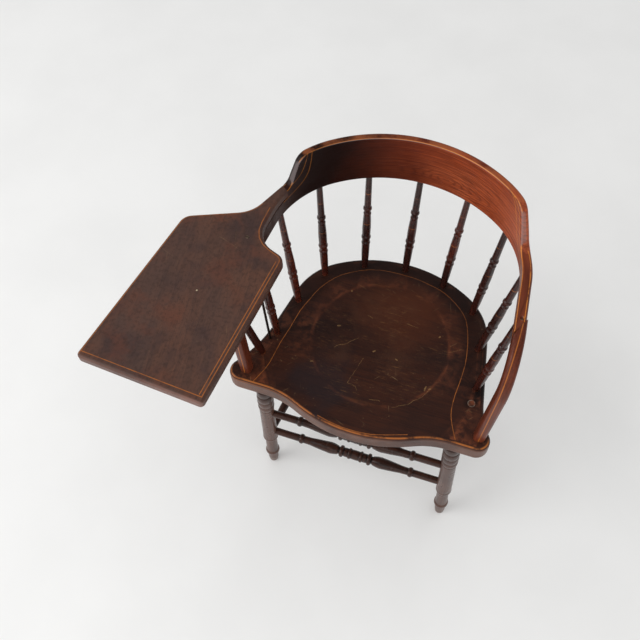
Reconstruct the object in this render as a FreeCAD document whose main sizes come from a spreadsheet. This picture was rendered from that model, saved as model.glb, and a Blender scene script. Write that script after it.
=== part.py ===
import FreeCAD, Part
import math
import os
import re
import Sketcher

# Writing arm windsor chair.
# The floor is z = 0, the front is -Y, and the writing tablet is on the -X side.
# The chair is laid out about its own middle plane x = 0, with y = 0 at the feet of the arm posts.
# Every piece is then shifted alike, so that the origin lies under the middle of the whole chair.

Vector = FreeCAD.Vector
Rotation = FreeCAD.Rotation
Placement = FreeCAD.Placement

SIZES = {
    # seat plank
    "seat_top": 435, "seat_thick": 45, "seat_top_round": 8, "seat_under_round": 11,
    "seat_back_y": 338, "seat_back_radius": 268, "seat_back_turn": 33,
    "seat_side_radius": 132, "seat_side_turn": 47,
    "ear_beyond": 29.434, "ear_left_beyond": 40.934, "ear_y": -6, "ear_radius": 24, "ear_turn": 35,
    "seat_front_y": -70, "seat_front_radius": 295, "seat_front_turn": 24,
    "dish_y": 134, "dish_radius": 141, "dish_depth": 6,
    # bent back rail and arms
    "rail_bottom": 656, "rail_height": 111, "rail_thick": 20,
    "rail_back_y": 373.5, "rail_back_radius": 265, "rail_back_turn": 36,
    "rail_side_radius": 178, "rail_side_turn": 49,
    "rail_crest_lean": 5.5, "rail_outer_round": 8, "rail_inner_round": 4, "rail_under_round": 3,
    "arm_height": 32, "arm_inner_length": 108, "arm_outer_length": 77,
    "scroll_skew": 35, "scroll_turn": 64, "scroll_upper_radius": 29,
    "scroll_right_start": 140, "scroll_right_radius": 27, "scroll_left_start": 130, "scroll_left_radius": 18,
    # bent arm posts
    "post_width": 22, "post_depth": 24, "post_round": 7, "post_bend_radius": 88, "post_turn": 86,
    "post_foot_beyond": 1.5, "post_foot_y": 0, "post_tenon_radius": 7.5, "post_tenon": 25,
    # writing tablet
    "tablet_thick": 20, "tablet_top_round": 6, "tablet_under_round": 4,
    "tablet_front_left_out": 204.54, "tablet_front_left_ahead": 381.398,
    "tablet_front_right_out": -28.96, "tablet_front_right_ahead": 397.898,
    "tablet_inner_out": -57.96, "tablet_inner_ahead": 95.398,
    "tablet_shoulder_out": 5.04, "tablet_shoulder_ahead": 70.898,
    "tablet_hollow_out": 36.04, "tablet_hollow_ahead": 15.898,
    "tablet_back_left_out": 150.04, "tablet_back_left_ahead": 61.898,
    "tablet_front_round": 8, "tablet_inner_round": 20, "tablet_back_round": 26,
    "tablet_shoulder_round": 50, "tablet_hollow_round": 60,
    # spindles
    "spindle_count": 9, "spindle_inset": 18, "spindle_foot_past": 111.57, "spindle_head_past": 68.658,
    "spindle_radius": 9.8, "spindle_foot_tenon": 20, "spindle_head_tenon": 10, "spindle_head_offset": 8.5,
    # legs
    "front_leg_inside": 41, "front_leg_left_inside": 45.5, "front_leg_y": -12,
    "front_foot_splay": 11, "front_foot_y": -14,
    "back_leg_inside": 54.066, "back_leg_y": 235, "back_foot_splay": 38, "back_foot_y": 292,
    "leg_radius": 17.3, "leg_tenon": 30,
    # stretchers
    "front_upper_level": 271, "front_lower_level": 175, "side_level": 156, "back_level": 185,
    "stretcher_radius": 14, "plain_stretcher_radius": 11, "stretcher_short": 4,
    # writing tablet's brace and rod
    "brace_foot_inside": 26, "brace_foot_y": 43, "brace_head_out": 60.54, "brace_head_ahead": 151.398,
    "brace_radius": 8.5, "brace_tenon": 13,
    "rod_foot_beyond": 9.17, "rod_foot_ahead": 16.98, "rod_head_out": -2.46, "rod_head_ahead": 108.398,
    "rod_radius": 2.5, "rod_end": 9,
    # plug and screws
    "plug_inside": 28.5, "plug_y": 61, "plug_radius": 7.5, "plug_depth": 8,
    "screw_head_radius": 3.3, "screw_head_thick": 2, "screw_sunk": 0.3, "screw_radius": 2, "screw_length": 32,
    "screw_slot": 1,
    "tablet_screw_out": 21.54, "tablet_screw_ahead": 73.398, "scarf_screw_back": 12, "scarf_screw_slope": 50,
    # clearances
    "socket_gap": 0.3, "depth_gap": 1, "joint_gap": 0.2, "overrun": 12, "nearness": 0.001,
}

# Sizes that follow from the others: places on the seat go with its side, those on the tablet with the arm
RULES = {
    "seat_end_turn": "seat_back_turn + seat_side_turn",
    "seat_flank_x":
        "(seat_back_radius - seat_side_radius) * sin(seat_back_turn) + seat_side_radius * sin(seat_end_turn)",
    "ear_x": "seat_flank_x + ear_beyond", "ear_left_x": "seat_flank_x + ear_left_beyond",
    "post_foot_x": "ear_x + post_foot_beyond", "plug_x": "ear_x - plug_inside",
    "brace_foot_x": "ear_left_x - brace_foot_inside",
    "front_leg_x": "ear_x - front_leg_inside", "front_foot_x": "front_leg_x + front_foot_splay",
    "front_leg_left_x": "ear_left_x - front_leg_left_inside",
    "front_foot_left_x": "front_leg_left_x + front_foot_splay",
    "back_leg_x": "seat_flank_x - back_leg_inside", "back_foot_x": "back_leg_x + back_foot_splay",
    "rail_end_turn": "rail_back_turn + rail_side_turn",
    "rail_hub_x": "(rail_back_radius - rail_side_radius) * sin(rail_back_turn)",
    "rail_hub_y":
        "rail_back_y - rail_back_radius + (rail_back_radius - rail_side_radius) * cos(rail_back_turn)",
    "rail_flank_x": "rail_hub_x + rail_side_radius * sin(rail_end_turn)",
    "rail_flank_y": "rail_hub_y + rail_side_radius * cos(rail_end_turn)",
    "seat_back_curve": "(seat_back_radius - spindle_inset) * seat_back_turn",
    "seat_side_curve": "(seat_side_radius - spindle_inset) * seat_side_turn",
    "spindle_foot_step":
        "((seat_back_curve + seat_side_curve) * pi / 180 + spindle_foot_past) / (spindle_count - 1) * 2",
    "rail_back_curve": "(rail_back_radius + spindle_head_offset) * rail_back_turn",
    "rail_side_curve": "(rail_side_radius + spindle_head_offset) * rail_side_turn",
    "spindle_head_step":
        "((rail_back_curve + rail_side_curve) * pi / 180 + spindle_head_past) / (spindle_count - 1) * 2",
}
for spot in ("tablet_front_left", "tablet_front_right", "tablet_inner", "tablet_shoulder", "tablet_hollow",
             "tablet_back_left", "tablet_screw", "brace_head", "rod_head"):
    RULES[spot + "_x"] = f"rail_flank_x + {spot}_out"
    RULES[spot + "_y"] = f"rail_flank_y - {spot}_ahead"

document = FreeCAD.newDocument("writing_arm_chair")
sheet = document.addObject("Spreadsheet::Sheet", "Size")


def record(name, value):
    """Write one size, or a formula over sizes, into the sheet's next free row, under its own name."""
    row = len(rows) + 1
    rows.append(name)
    sheet.set(f"B{row}", "=" + value if isinstance(value, str) else repr(float(value)))
    sheet.set(f"A{row}", name)
    sheet.setAlias(f"B{row}", name)


rows = []
for size_name, size_value in {**SIZES, **RULES}.items():
    record(size_name, size_value)
document.recompute()


def formula(text):
    """A formula over size names, written as one over the sheet's cells."""
    return re.sub(r"[a-z]\w*", lambda word: ("Size." if word.group() in rows else "") + word.group(), text)


def number(text):
    """The present value of a formula over size names."""
    value = sheet.evalExpression(formula(text))
    return float(getattr(value, "Value", value))


def bind(thing, **formulas):
    """Tie properties of an object to formulas over size names."""
    for name, text in formulas.items():
        thing.setExpression(name, formula(text))


# Sketches and features shared by the pieces

def new_body(label):
    body = document.addObject("PartDesign::Body", label + "_body")
    body.Label = label
    return body


def turn_sketch(sketch, turn):
    """Turn a sketch about its own upright axis."""
    bind(sketch, **{".AttachmentOffset.Rotation.Axis.x": "0", ".AttachmentOffset.Rotation.Axis.y": "1",
                    ".AttachmentOffset.Rotation.Axis.z": "0", ".AttachmentOffset.Rotation.Angle": turn})


def outline(body, plane, corners, closed=True, shift=None, turn=None):
    """A sketch of lines and arcs through corners (x, y, rise), each a formula.

    The rise is how far the edge to the next corner bows out to the right of the way it runs.
    The sketch may be shifted along its plane's normal, and turned about its own upright axis.
    """
    sketch = body.newObject("Sketcher::SketchObject", body.Name + "_sketch")
    support = [feature for feature in body.Origin.OriginFeatures if feature.Role == plane][0]
    sketch.AttachmentSupport = [(support, "")]
    sketch.MapMode = "FlatFace"
    if shift:
        sketch.setExpression(".AttachmentOffset.Base.z", formula(shift))
    if turn:
        turn_sketch(sketch, turn)
    points = [Vector(number(x), number(y), 0) for x, y, rise in corners]
    last = len(corners) if closed else len(corners) - 1
    edges, starts, radii = [], [], []
    for i in range(last):
        j = (i + 1) % len(corners)
        rise = corners[i][2]
        if rise == "0":
            edges.append(Part.LineSegment(points[i], points[j]))
            starts.append(1)
            radii.append(None)
            continue
        (x1, y1, _), (x2, y2, _) = corners[i], corners[j]
        quarter = f"((({x2}) - ({x1}))^2 + (({y2}) - ({y1}))^2) / 4"
        radius = f"({quarter} + ({rise})^2) / (2 * abs({rise}))"
        middle = (points[i] + points[j]) / 2
        way = points[j] - points[i]
        out = Vector(way.y, -way.x, 0).normalize() * number(rise)
        arc = Part.Arc(points[i], middle + out, points[j])
        edges.append(arc)
        starts.append(1 if number(rise) > 0 else 2)
        radii.append(radius)
    sketch.addGeometry(edges)
    ends = [3 - start for start in starts]
    rules, bound = [], []
    for i in range(last):
        if closed or i < last - 1:
            j = (i + 1) % last
            rules.append(Sketcher.Constraint("Coincident", i, ends[i], j, starts[j]))
    for i in range(len(corners)):
        edge, end = (i, starts[i]) if i < last else (last - 1, ends[last - 1])
        for kind, text, place in (("DistanceX", corners[i][0], points[i].x),
                                  ("DistanceY", corners[i][1], points[i].y)):
            bound.append((len(rules), text))
            rules.append(Sketcher.Constraint(kind, edge, end, place))
    for i, radius in enumerate(radii):
        if radius:
            bound.append((len(rules), radius))
            rules.append(Sketcher.Constraint("Radius", i, number(radius)))
    sketch.addConstraint(rules)
    for index, text in bound:
        sketch.setExpression(f"Constraints[{index}]", formula(text))
    return sketch


def mirrored(half, back_rise, front_rise, left_half=None):
    """A closed outline from its right half, which runs from the front to the back."""
    right = half[:-1] + [half[-1][:2] + (back_rise,)]
    other = left_half or half
    rises = [rise for x, y, rise in other[:-1]]
    left = [(f"-({x})", y, rise) for (x, y, _), rise in zip(other[::-1], rises[::-1] + [front_rise])]
    return right + left


def pad(body, sketch, length):
    feature = body.newObject("PartDesign::Pad", body.Name + "_pad")
    feature.Profile = sketch
    bind(feature, Length=length)
    document.recompute()
    return feature


def pocket(body, sketch, length, reverse):
    feature = body.newObject("PartDesign::Pocket", body.Name + "_pocket")
    feature.Profile = sketch
    feature.Reversed = reverse
    bind(feature, Length=length)
    document.recompute()
    return feature


def edge_names(base, wanted):
    """The names of the edges of a feature for which wanted(edge) is true."""
    return [f"Edge{i + 1}" for i, edge in enumerate(base.Shape.Edges) if wanted(edge)]


def rounded(body, radius, wanted):
    """Round the edges of the body's tip for which wanted(edge) is true."""
    base = body.Tip
    names = edge_names(base, wanted)
    feature = body.newObject("PartDesign::Fillet", body.Name + "_round")
    feature.Base = (base, names)
    bind(feature, Radius=radius)
    document.recompute()
    return feature


def upright(edge):
    """True for a straight edge along Z."""
    first, last = edge.Vertexes[0].Point, edge.Vertexes[-1].Point
    return math.hypot(first.x - last.x, first.y - last.y) < nearness < abs(first.z - last.z)


def middle_of(edge):
    return edge.valueAt((edge.FirstParameter + edge.LastParameter) / 2)


def turned(label, reach, radius, shares, foot="0", head="0"):
    """A turned piece along +Z: a plain end below zero, the shares along its reach, a plain end above.

    Each row of shares is (height over the reach, radius over the largest, the next edge's bow over the same).
    """
    body = new_body(label)
    corners = [("0", f"-({foot})", "0"), (f"{shares[0][1]} * {radius}", f"-({foot})", "0")]
    corners += [(f"{wide} * {radius}", f"{high} * {reach}", f"{bow} * {radius}" if bow else "0")
                for high, wide, bow in shares]
    corners += [(f"{shares[-1][1]} * {radius}", f"{reach} + {head}", "0"), ("0", f"{reach} + {head}", "0")]
    if foot == "0":
        corners.pop(1)
    if head == "0":
        corners.pop(-2)
    sketch = outline(body, "XZ_Plane", corners)
    feature = body.newObject("PartDesign::Revolution", body.Name + "_turning")
    feature.Profile = sketch
    feature.ReferenceAxis = (sketch, ["V_Axis"])
    feature.Angle = 360
    return body


def along(start, end):
    """The placement that sets a piece made along +Z from start towards end."""
    return Placement(start, Rotation(Vector(0, 0, 1), end - start))


def drill(label, start, end, radius, depth):
    """A cutter from start towards end, its radius and depth formulas."""
    tool = document.addObject("Part::Cylinder", label)
    bind(tool, Radius=radius, Height=depth)
    tool.Placement = along(start, end)
    return tool


def block(label, length, width, height, placement):
    tool = document.addObject("Part::Box", label)
    bind(tool, Length=length, Width=width, Height=height)
    tool.Placement = placement
    return tool


def cut(label, base, tools):
    """The base less all its tools, which becomes the piece of that name."""
    gathered = tools[0]
    if len(tools) > 1:
        gathered = document.addObject("Part::MultiFuse", label + "_cutters")
        gathered.Shapes = tools
    result = document.addObject("Part::Cut", label + "_cut")
    result.Base = base
    result.Tool = gathered
    base.Label = label + "_blank"
    result.Label = label
    return result


# Places that several pieces share

def seat_point(distance, inset):
    """The plan point on the seat's back edge, set in, at a distance along the set-in edge from its middle."""
    back, side = number("seat_back_radius") - inset, number("seat_side_radius") - inset
    turn, turned_by = math.radians(number("seat_back_turn")), math.radians(number("seat_side_turn"))
    centre_y = number("seat_back_y - seat_back_radius")
    angle = distance / back
    if angle <= turn:
        return Vector(back * math.sin(angle), centre_y + back * math.cos(angle), 0)
    centre = Vector((back - side) * math.sin(turn), centre_y + (back - side) * math.cos(turn), 0)
    rest = distance - back * turn
    angle = turn + min(rest / side, turned_by)
    straight = max(0, rest - side * turned_by)
    flank = Vector(math.sin(angle), math.cos(angle), 0)
    return centre + flank * side + Vector(flank.y, -flank.x, 0) * straight


def rail_point(distance, offset):
    """The plan point on the rail at an offset from its inner face, by distance from the back's middle."""
    back, side = number("rail_back_radius") + offset, number("rail_side_radius") + offset
    turn, turned_by = math.radians(number("rail_back_turn")), math.radians(number("rail_side_turn"))
    centre_y = number("rail_back_y - rail_back_radius")
    angle = distance / back
    if angle <= turn:
        return Vector(back * math.sin(angle), centre_y + back * math.cos(angle), 0)
    centre = Vector((back - side) * math.sin(turn), centre_y + (back - side) * math.cos(turn), 0)
    rest = distance - back * turn
    angle = turn + min(rest / side, turned_by)
    straight = max(0, rest - side * turned_by)
    flank = Vector(math.sin(angle), math.cos(angle), 0)
    return centre + flank * side + Vector(flank.y, -flank.x, 0) * straight


def rail_offset(point):
    """How far a point lies outside the rail's inner face, in plan."""
    turn = math.radians(number("rail_back_turn"))
    end = turn + math.radians(number("rail_side_turn"))
    back, side = number("rail_back_radius"), number("rail_side_radius")
    centre_y = number("rail_back_y") - back
    x, y = abs(point.x), point.y
    if math.atan2(x, y - centre_y) <= turn:
        return math.hypot(x, y - centre_y) - back
    x -= (back - side) * math.sin(turn)
    y -= centre_y + (back - side) * math.cos(turn)
    if math.atan2(x, y) <= end:
        return math.hypot(x, y) - side
    return x * math.sin(end) + y * math.cos(end) - side


def sided(point, side):
    """A point of the right half, carried to the side +1 or -1."""
    return Vector(point.x * side, point.y, point.z)


def named(side):
    return "right" if side > 0 else "left"


SIDES = (-1, 1)
nearness = number("nearness")
seat_level = number("seat_top")
seat_under = number("seat_top - seat_thick")
rail_under = number("rail_bottom")
arm_level = number("rail_bottom + arm_height")
down = Vector(0, 0, -1)


def leg_point(row, level, side):
    """The point on a leg's axis at a height, for the front or the back row and the side +1 or -1."""
    left = "_left" if row == "front" and side < 0 else ""
    foot = Vector(number(f"{row}_foot{left}_x") * side, number(row + "_foot_y"), 0)
    top = Vector(number(f"{row}_leg{left}_x") * side, number(row + "_leg_y"), seat_under)
    return foot + (top - foot) * (level / top.z)


# Worked-out places and reaches, set in the sheet before anything is drawn

spindle_middle = int(number("spindle_count")) // 2
spindle_ends = []
for place in range(-spindle_middle, spindle_middle + 1):
    side = -1 if place < 0 else 1
    foot = seat_point(abs(place) * number("spindle_foot_step"), number("spindle_inset"))
    head = rail_point(abs(place) * number("spindle_head_step"), number("spindle_head_offset"))
    foot.z, head.z = seat_level, rail_under
    spindle_ends.append((f"spindle_{place + spindle_middle + 1}", sided(foot, side), sided(head, side)))
    record(f"spindle_{place + spindle_middle + 1}_reach", (head - foot).Length)

stretcher_ends = []
for label, level, row in (("stretcher_front_upper", "front_upper_level", "front"),
                          ("stretcher_front_lower", "front_lower_level", "front"),
                          ("stretcher_back", "back_level", "back")):
    ends = [leg_point(row, number(level), side) for side in SIDES]
    stretcher_ends.append((label, level, ends[0], ends[1]))
for side in SIDES:
    ends = [leg_point(row, number("side_level"), side) for row in ("front", "back")]
    stretcher_ends.append((f"stretcher_side_{named(side)}", "side_level", ends[0], ends[1]))
for label, level, first, last in stretcher_ends:
    record(label + "_reach", (last - first).Length - 2 * number("stretcher_short"))
for row in ("front", "back"):
    record(row + "_leg_reach", (leg_point(row, seat_under, 1) - leg_point(row, 0, 1)).Length)

arm_way = Vector(number("cos(rail_end_turn)"), -number("sin(rail_end_turn)"), 0)


def arm_point(length, offset):
    """The plan point on the straight arm at a length past the curve and an offset from its inner face."""
    curve = (number("rail_back_radius") + offset) * math.radians(number("rail_back_turn")) \
        + (number("rail_side_radius") + offset) * math.radians(number("rail_side_turn"))
    return rail_point(curve + number(length), offset)


scarf_inner = arm_point("arm_inner_length", 0)
scarf_outer = arm_point("arm_outer_length", number("rail_thick"))
post_start = arm_point("arm_outer_length - overrun", number("rail_thick / 2"))
post_start.z = number("rail_bottom + arm_height / 2")
post_foot = Vector(number("post_foot_x"), number("post_foot_y"), seat_level)
post_reach = (post_foot - post_start).dot(arm_way)
post_down = post_foot - post_start - arm_way * post_reach
record("post_reach", post_reach)
record("post_drop", post_down.Length)
brace_foot = Vector(-number("brace_foot_x"), number("brace_foot_y"), seat_level)
brace_head = Vector(-number("brace_head_x"), number("brace_head_y"), arm_level)
record("brace_reach", (brace_head - brace_foot).Length)
rod_foot = spindle_ends[0][1] - Vector(number("rod_foot_beyond"), number("rod_foot_ahead"), 0)
rod_head = Vector(-number("rod_head_x"), number("rod_head_y"), arm_level)
record("rod_reach", (rod_head - rod_foot).Length)
document.recompute()

# Bent back rail, scrolled down to the arms


def rail_corners(offset, length):
    """The right half of one face of the rail, from the end of the arm to the back."""
    flank_x = f"rail_flank_x + {offset} * sin(rail_end_turn)"
    flank_y = f"rail_flank_y + {offset} * cos(rail_end_turn)"
    side_rise = f"(rail_side_radius + {offset}) * (1 - cos(rail_side_turn / 2))"
    return [(f"{flank_x} + {length} * cos(rail_end_turn)", f"{flank_y} - {length} * sin(rail_end_turn)", "0"),
            (flank_x, flank_y, side_rise),
            (f"(rail_back_radius + {offset}) * sin(rail_back_turn)",
             f"rail_back_y - rail_back_radius + (rail_back_radius + {offset}) * cos(rail_back_turn)", "0")]


def back_rise(offset):
    return f"(rail_back_radius + {offset}) * (1 - cos(rail_back_turn))"


def face_at(level):
    """How far the rail's outer face, which leans in towards the crest, is from the inner one at a level."""
    return f"(rail_thick - rail_crest_lean * ({level} - rail_bottom) / rail_height)"


outer = mirrored(rail_corners("rail_thick", "(arm_outer_length + 3 * overrun)"), back_rise("rail_thick"), "0")
rail = new_body("back_rail")
leaning = pad(rail, outline(rail, "XY_Plane", outer, shift="rail_bottom"), "rail_height")
bind(leaning, TaperAngle="-atan(rail_crest_lean / rail_height)")
document.recompute()
inner = mirrored(rail_corners("0", "arm_inner_length"), back_rise("0"), "0")
end_x, end_y, _ = rail_corners("0", "arm_inner_length")[0]
side_x, side_y, _ = rail_corners("rail_thick", "arm_outer_length")[0]
far_x, far_y = f"({end_x} + 3 * ({side_x} - ({end_x})))", f"({end_y} + 3 * ({side_y} - ({end_y})))"
front_limit = "-rail_back_radius"
within = inner[:-1] + [inner[-1][:2] + ("0",), (f"-{far_x}", far_y, "0"), (f"-{far_x}", front_limit, "0"),
                       (far_x, front_limit, "0"), (far_x, far_y, "0")]
pocket(rail, outline(rail, "XY_Plane", within, shift="rail_bottom"), "rail_height", True)

scroll_top = "rail_bottom + rail_height"


def scroll(start, lowest, lower_radius):
    """Profile of what a scroll takes off the rail, down to the lowest level, and where it ends."""
    drop = f"(scroll_upper_radius + {lower_radius}) * (1 - cos(scroll_turn))"
    slope = f"(({scroll_top} - ({lowest}) - {drop}) / tan(scroll_turn))"
    upper_end = f"{start} - scroll_upper_radius * sin(scroll_turn)"
    upper_low = f"{scroll_top} - scroll_upper_radius * (1 - cos(scroll_turn))"
    end = f"({upper_end} - {slope} - {lower_radius} * sin(scroll_turn))"
    corners = [(start, scroll_top, "scroll_upper_radius * (1 - cos(scroll_turn / 2))"),
               (upper_end, upper_low, "0"),
               (f"{upper_end} - {slope}", f"{lowest} + {lower_radius} * (1 - cos(scroll_turn))",
                f"-{lower_radius} * (1 - cos(scroll_turn / 2))"), (end, lowest, "0")]
    return corners, end


arm_top = "rail_bottom + arm_height"
tablet_top = f"({arm_top} + tablet_thick)"
right_corners, _ = scroll("scroll_right_start", arm_top, "scroll_right_radius")
left_corners, seam_place = scroll("scroll_left_start", tablet_top, "scroll_left_radius")
for corners, start, lowest, turn, reverse in (
        (right_corners, "scroll_right_start", arm_top, "scroll_skew", True),
        (left_corners, "scroll_left_start", tablet_top, "-scroll_skew", False)):
    closing = [(front_limit, lowest, "0"), (front_limit, f"{scroll_top} + overrun", "0"),
               (start, f"{scroll_top} + overrun", "0")]
    pocket(rail, outline(rail, "YZ_Plane", corners + closing, turn=turn), "2 * rail_back_radius", reverse)


def along_face(edge, offset, under):
    """True for an edge that runs along one face of the rail, at its underside or anywhere above it."""
    middle = middle_of(edge)
    place = number(offset if offset == "0" else face_at(middle.z))
    return not upright(edge) and abs(rail_offset(middle) - place) < number("joint_gap") \
        and (abs(middle.z - rail_under) < nearness) == under


rounded(rail, "rail_outer_round", lambda edge: along_face(edge, "rail_thick", False))
rounded(rail, "rail_inner_round", lambda edge: along_face(edge, "0", False))
rounded(rail, "rail_under_round",
        lambda edge: along_face(edge, "rail_thick", True) or along_face(edge, "0", True))
neck_seat = [(seam_place, arm_top, "0"), (front_limit, arm_top, "0"),
             (front_limit, f"{tablet_top} + overrun", "0"), (seam_place, f"{tablet_top} + overrun", "0")]
pocket(rail, outline(rail, "YZ_Plane", neck_seat, turn="-scroll_skew"), "2 * rail_back_radius", False)

# Writing tablet, a flat paddle whose neck runs back to the scroll

seam = f"({seam_place} - joint_gap)"
hub_across = "(rail_hub_y * cos(scroll_skew) - rail_hub_x * sin(scroll_skew))"
hub_along = "(rail_hub_x * cos(scroll_skew) + rail_hub_y * sin(scroll_skew))"


def neck_corner(radius):
    """Where the seam meets a face of the rail's side curve, on the right half."""
    reach = f"({hub_along} + sqrt(({radius})^2 - ({seam} - {hub_across})^2))"
    return (f"({reach} * cos(scroll_skew) - {seam} * sin(scroll_skew))",
            f"({reach} * sin(scroll_skew) + {seam} * cos(scroll_skew))")


neck_inner_x, neck_inner_y = neck_corner("rail_side_radius")
neck_outer_x, neck_outer_y = neck_corner(f"rail_side_radius + {face_at(tablet_top)}")
neck_half = f"(((rail_flank_x - {neck_inner_x})^2 + ({neck_inner_y} - rail_flank_y)^2) / 4)"
neck_rise = f"(rail_side_radius - sqrt(rail_side_radius^2 - {neck_half}))"
tablet = new_body("writing_tablet")
tablet_corners = [
    ("-tablet_front_left_x", "tablet_front_left_y", "0"),
    ("-tablet_front_right_x", "tablet_front_right_y", "0"),
    ("-tablet_inner_x", "tablet_inner_y", "0"), ("-tablet_shoulder_x", "tablet_shoulder_y", "0"),
    ("-rail_flank_x", "rail_flank_y", f"-({neck_rise})"), (f"-{neck_inner_x}", neck_inner_y, "0"),
    (f"-{neck_outer_x}", neck_outer_y, "0"), ("-tablet_hollow_x", "tablet_hollow_y", "0"),
    ("-tablet_back_left_x", "tablet_back_left_y", "0"),
]
pad(tablet, outline(tablet, "XY_Plane", tablet_corners, shift=arm_top), "tablet_thick")
for radius, corner_names in (("tablet_front_round", ("front_left", "front_right")),
                             ("tablet_inner_round", ("inner",)), ("tablet_shoulder_round", ("shoulder",)),
                             ("tablet_hollow_round", ("hollow",)), ("tablet_back_round", ("back_left",))):
    places = [(-number(f"tablet_{corner}_x"), number(f"tablet_{corner}_y")) for corner in corner_names]
    rounded(tablet, radius, lambda edge: upright(edge) and any(
        math.hypot(middle_of(edge).x - x, middle_of(edge).y - y) < nearness for x, y in places))
seam_middle = Vector(-number(f"({neck_inner_x} + {neck_outer_x}) / 2"),
                     number(f"({neck_inner_y} + {neck_outer_y}) / 2"), 0)


def tablet_rim(edge, level):
    """True for an edge round the tablet at a level, less the one along the seam."""
    middle = middle_of(edge)
    on_seam = math.hypot(middle.x - seam_middle.x, middle.y - seam_middle.y) < number("rail_thick / 4")
    return abs(middle.z - number(level)) < nearness and not on_seam


rounded(tablet, "tablet_top_round", lambda edge: tablet_rim(edge, tablet_top))
rounded(tablet, "tablet_under_round", lambda edge: tablet_rim(edge, arm_top))

# Seat plank with its shallow round dish

shoulder_x = "seat_back_radius * sin(seat_back_turn)"
shoulder_y = "seat_back_y - seat_back_radius * (1 - cos(seat_back_turn))"
flank_x = "seat_flank_x"
flank_y = f"({shoulder_y} + seat_side_radius * (cos(seat_end_turn) - cos(seat_back_turn)))"
ear_end_x = "(ear_x + ear_radius * cos(ear_turn))"
ear_end_y = "(ear_y + ear_radius * sin(ear_turn))"
flare = "(90 - seat_end_turn)"
waist_chord = f"((({ear_end_x} - {flank_x}) * cos{flare} + ({ear_end_y} - {flank_y}) * sin{flare}) " \
    f"/ sin((ear_turn - {flare}) / 2))"
front_flat_y = "(ear_y - ear_radius)"
bulge_x = "seat_front_radius * sin(seat_front_turn)"
bulge_y = "seat_front_y + seat_front_radius * (1 - cos(seat_front_turn))"
sweep_radius = f"(({front_flat_y} - ({bulge_y})) / (1 - cos(seat_front_turn)))"
seat_half = [
    (bulge_x, bulge_y, f"-{sweep_radius} * (1 - cos(seat_front_turn / 2))"),
    (f"{bulge_x} + {sweep_radius} * sin(seat_front_turn)", front_flat_y, "0"),
    ("ear_x", front_flat_y, "ear_radius * (1 - cos((90 + ear_turn) / 2))"),
    (ear_end_x, ear_end_y, f"-{waist_chord} / 2 * tan((ear_turn - {flare}) / 4)"),
    (f"{ear_end_x} - {waist_chord} * sin((ear_turn + {flare}) / 2)",
     f"{ear_end_y} + {waist_chord} * cos((ear_turn + {flare}) / 2)", "0"),
    (flank_x, flank_y, "seat_side_radius * (1 - cos(seat_side_turn / 2))"),
    (shoulder_x, shoulder_y, "0"),
]
seat = new_body("seat")
seat_left_half = [tuple(re.sub(r"\bear_x\b", "ear_left_x", text) for text in corner) for corner in seat_half]
seat_outline = mirrored(seat_half, "seat_back_radius * (1 - cos(seat_back_turn))",
                        "seat_front_radius * (1 - cos(seat_front_turn))", seat_left_half)
pad(seat, outline(seat, "XY_Plane", seat_outline, shift="seat_top - seat_thick"), "seat_thick")
rounded(seat, "seat_top_round", lambda edge: abs(middle_of(edge).z - seat_level) < nearness)
rounded(seat, "seat_under_round", lambda edge: abs(middle_of(edge).z - seat_under) < nearness)
dish = outline(seat, "XZ_Plane", [
    ("0", "seat_top - dish_depth", "dish_depth / 4"), ("dish_radius", "seat_top", "0"),
    ("dish_radius", "seat_top + overrun", "0"), ("0", "seat_top + overrun", "0"),
], shift="-dish_y")
groove = seat.newObject("PartDesign::Groove", "seat_dish")
groove.Profile = dish
groove.ReferenceAxis = (dish, ["V_Axis"])
groove.Angle = 360
document.recompute()

# Spindles, feet in the seat and heads in the rail

spindle_profile_shares = [
    (0.0, 0.65, 0), (0.14, 0.82, 0), (0.262, 0.86, 0), (0.27, 0.88, 0.06), (0.294, 0.88, 0), (0.3, 0.82, 0),
    (0.325, 0.84, 0), (0.33, 0.92, 0.08), (0.362, 0.92, 0), (0.368, 0.87, 0), (0.45, 0.9, 0.02),
    (0.592, 0.76, 0), (0.597, 0.78, 0.03), (0.615, 0.78, 0), (0.625, 0.67, 0), (0.642, 0.69, 0),
    (0.647, 0.84, 0.07), (0.675, 0.84, 0), (0.682, 0.72, 0), (1.0, 0.62, 0),
]
spindles = []
for label, foot, head in spindle_ends:
    spindle = turned(label, label + "_reach", "spindle_radius", spindle_profile_shares,
                     "spindle_foot_tenon", "spindle_head_tenon")
    spindle.Placement = along(foot, head)
    spindles.append(spindle)

# Legs

leg_profile_shares = [
    (0.0, 0.58, 0), (0.03, 0.66, 0), (0.125, 0.7, 0), (0.13, 0.86, 0.06), (0.155, 0.88, 0),
    (0.165, 0.78, 0), (0.34, 0.74, 0), (0.348, 0.9, 0.06), (0.375, 0.96, 0), (0.52, 0.93, 0), (0.755, 0.9, 0),
    (0.762, 0.83, 0),
    (0.768, 0.93, 0.07), (0.815, 0.93, 0), (0.819, 0.94, 0.07), (0.87, 0.94, 0), (0.874, 0.93, 0.07),
    (0.925, 0.93, 0), (0.932, 0.83, 0), (0.94, 0.92, 0.03), (0.985, 0.88, 0), (1.0, 0.62, 0),
]


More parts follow.
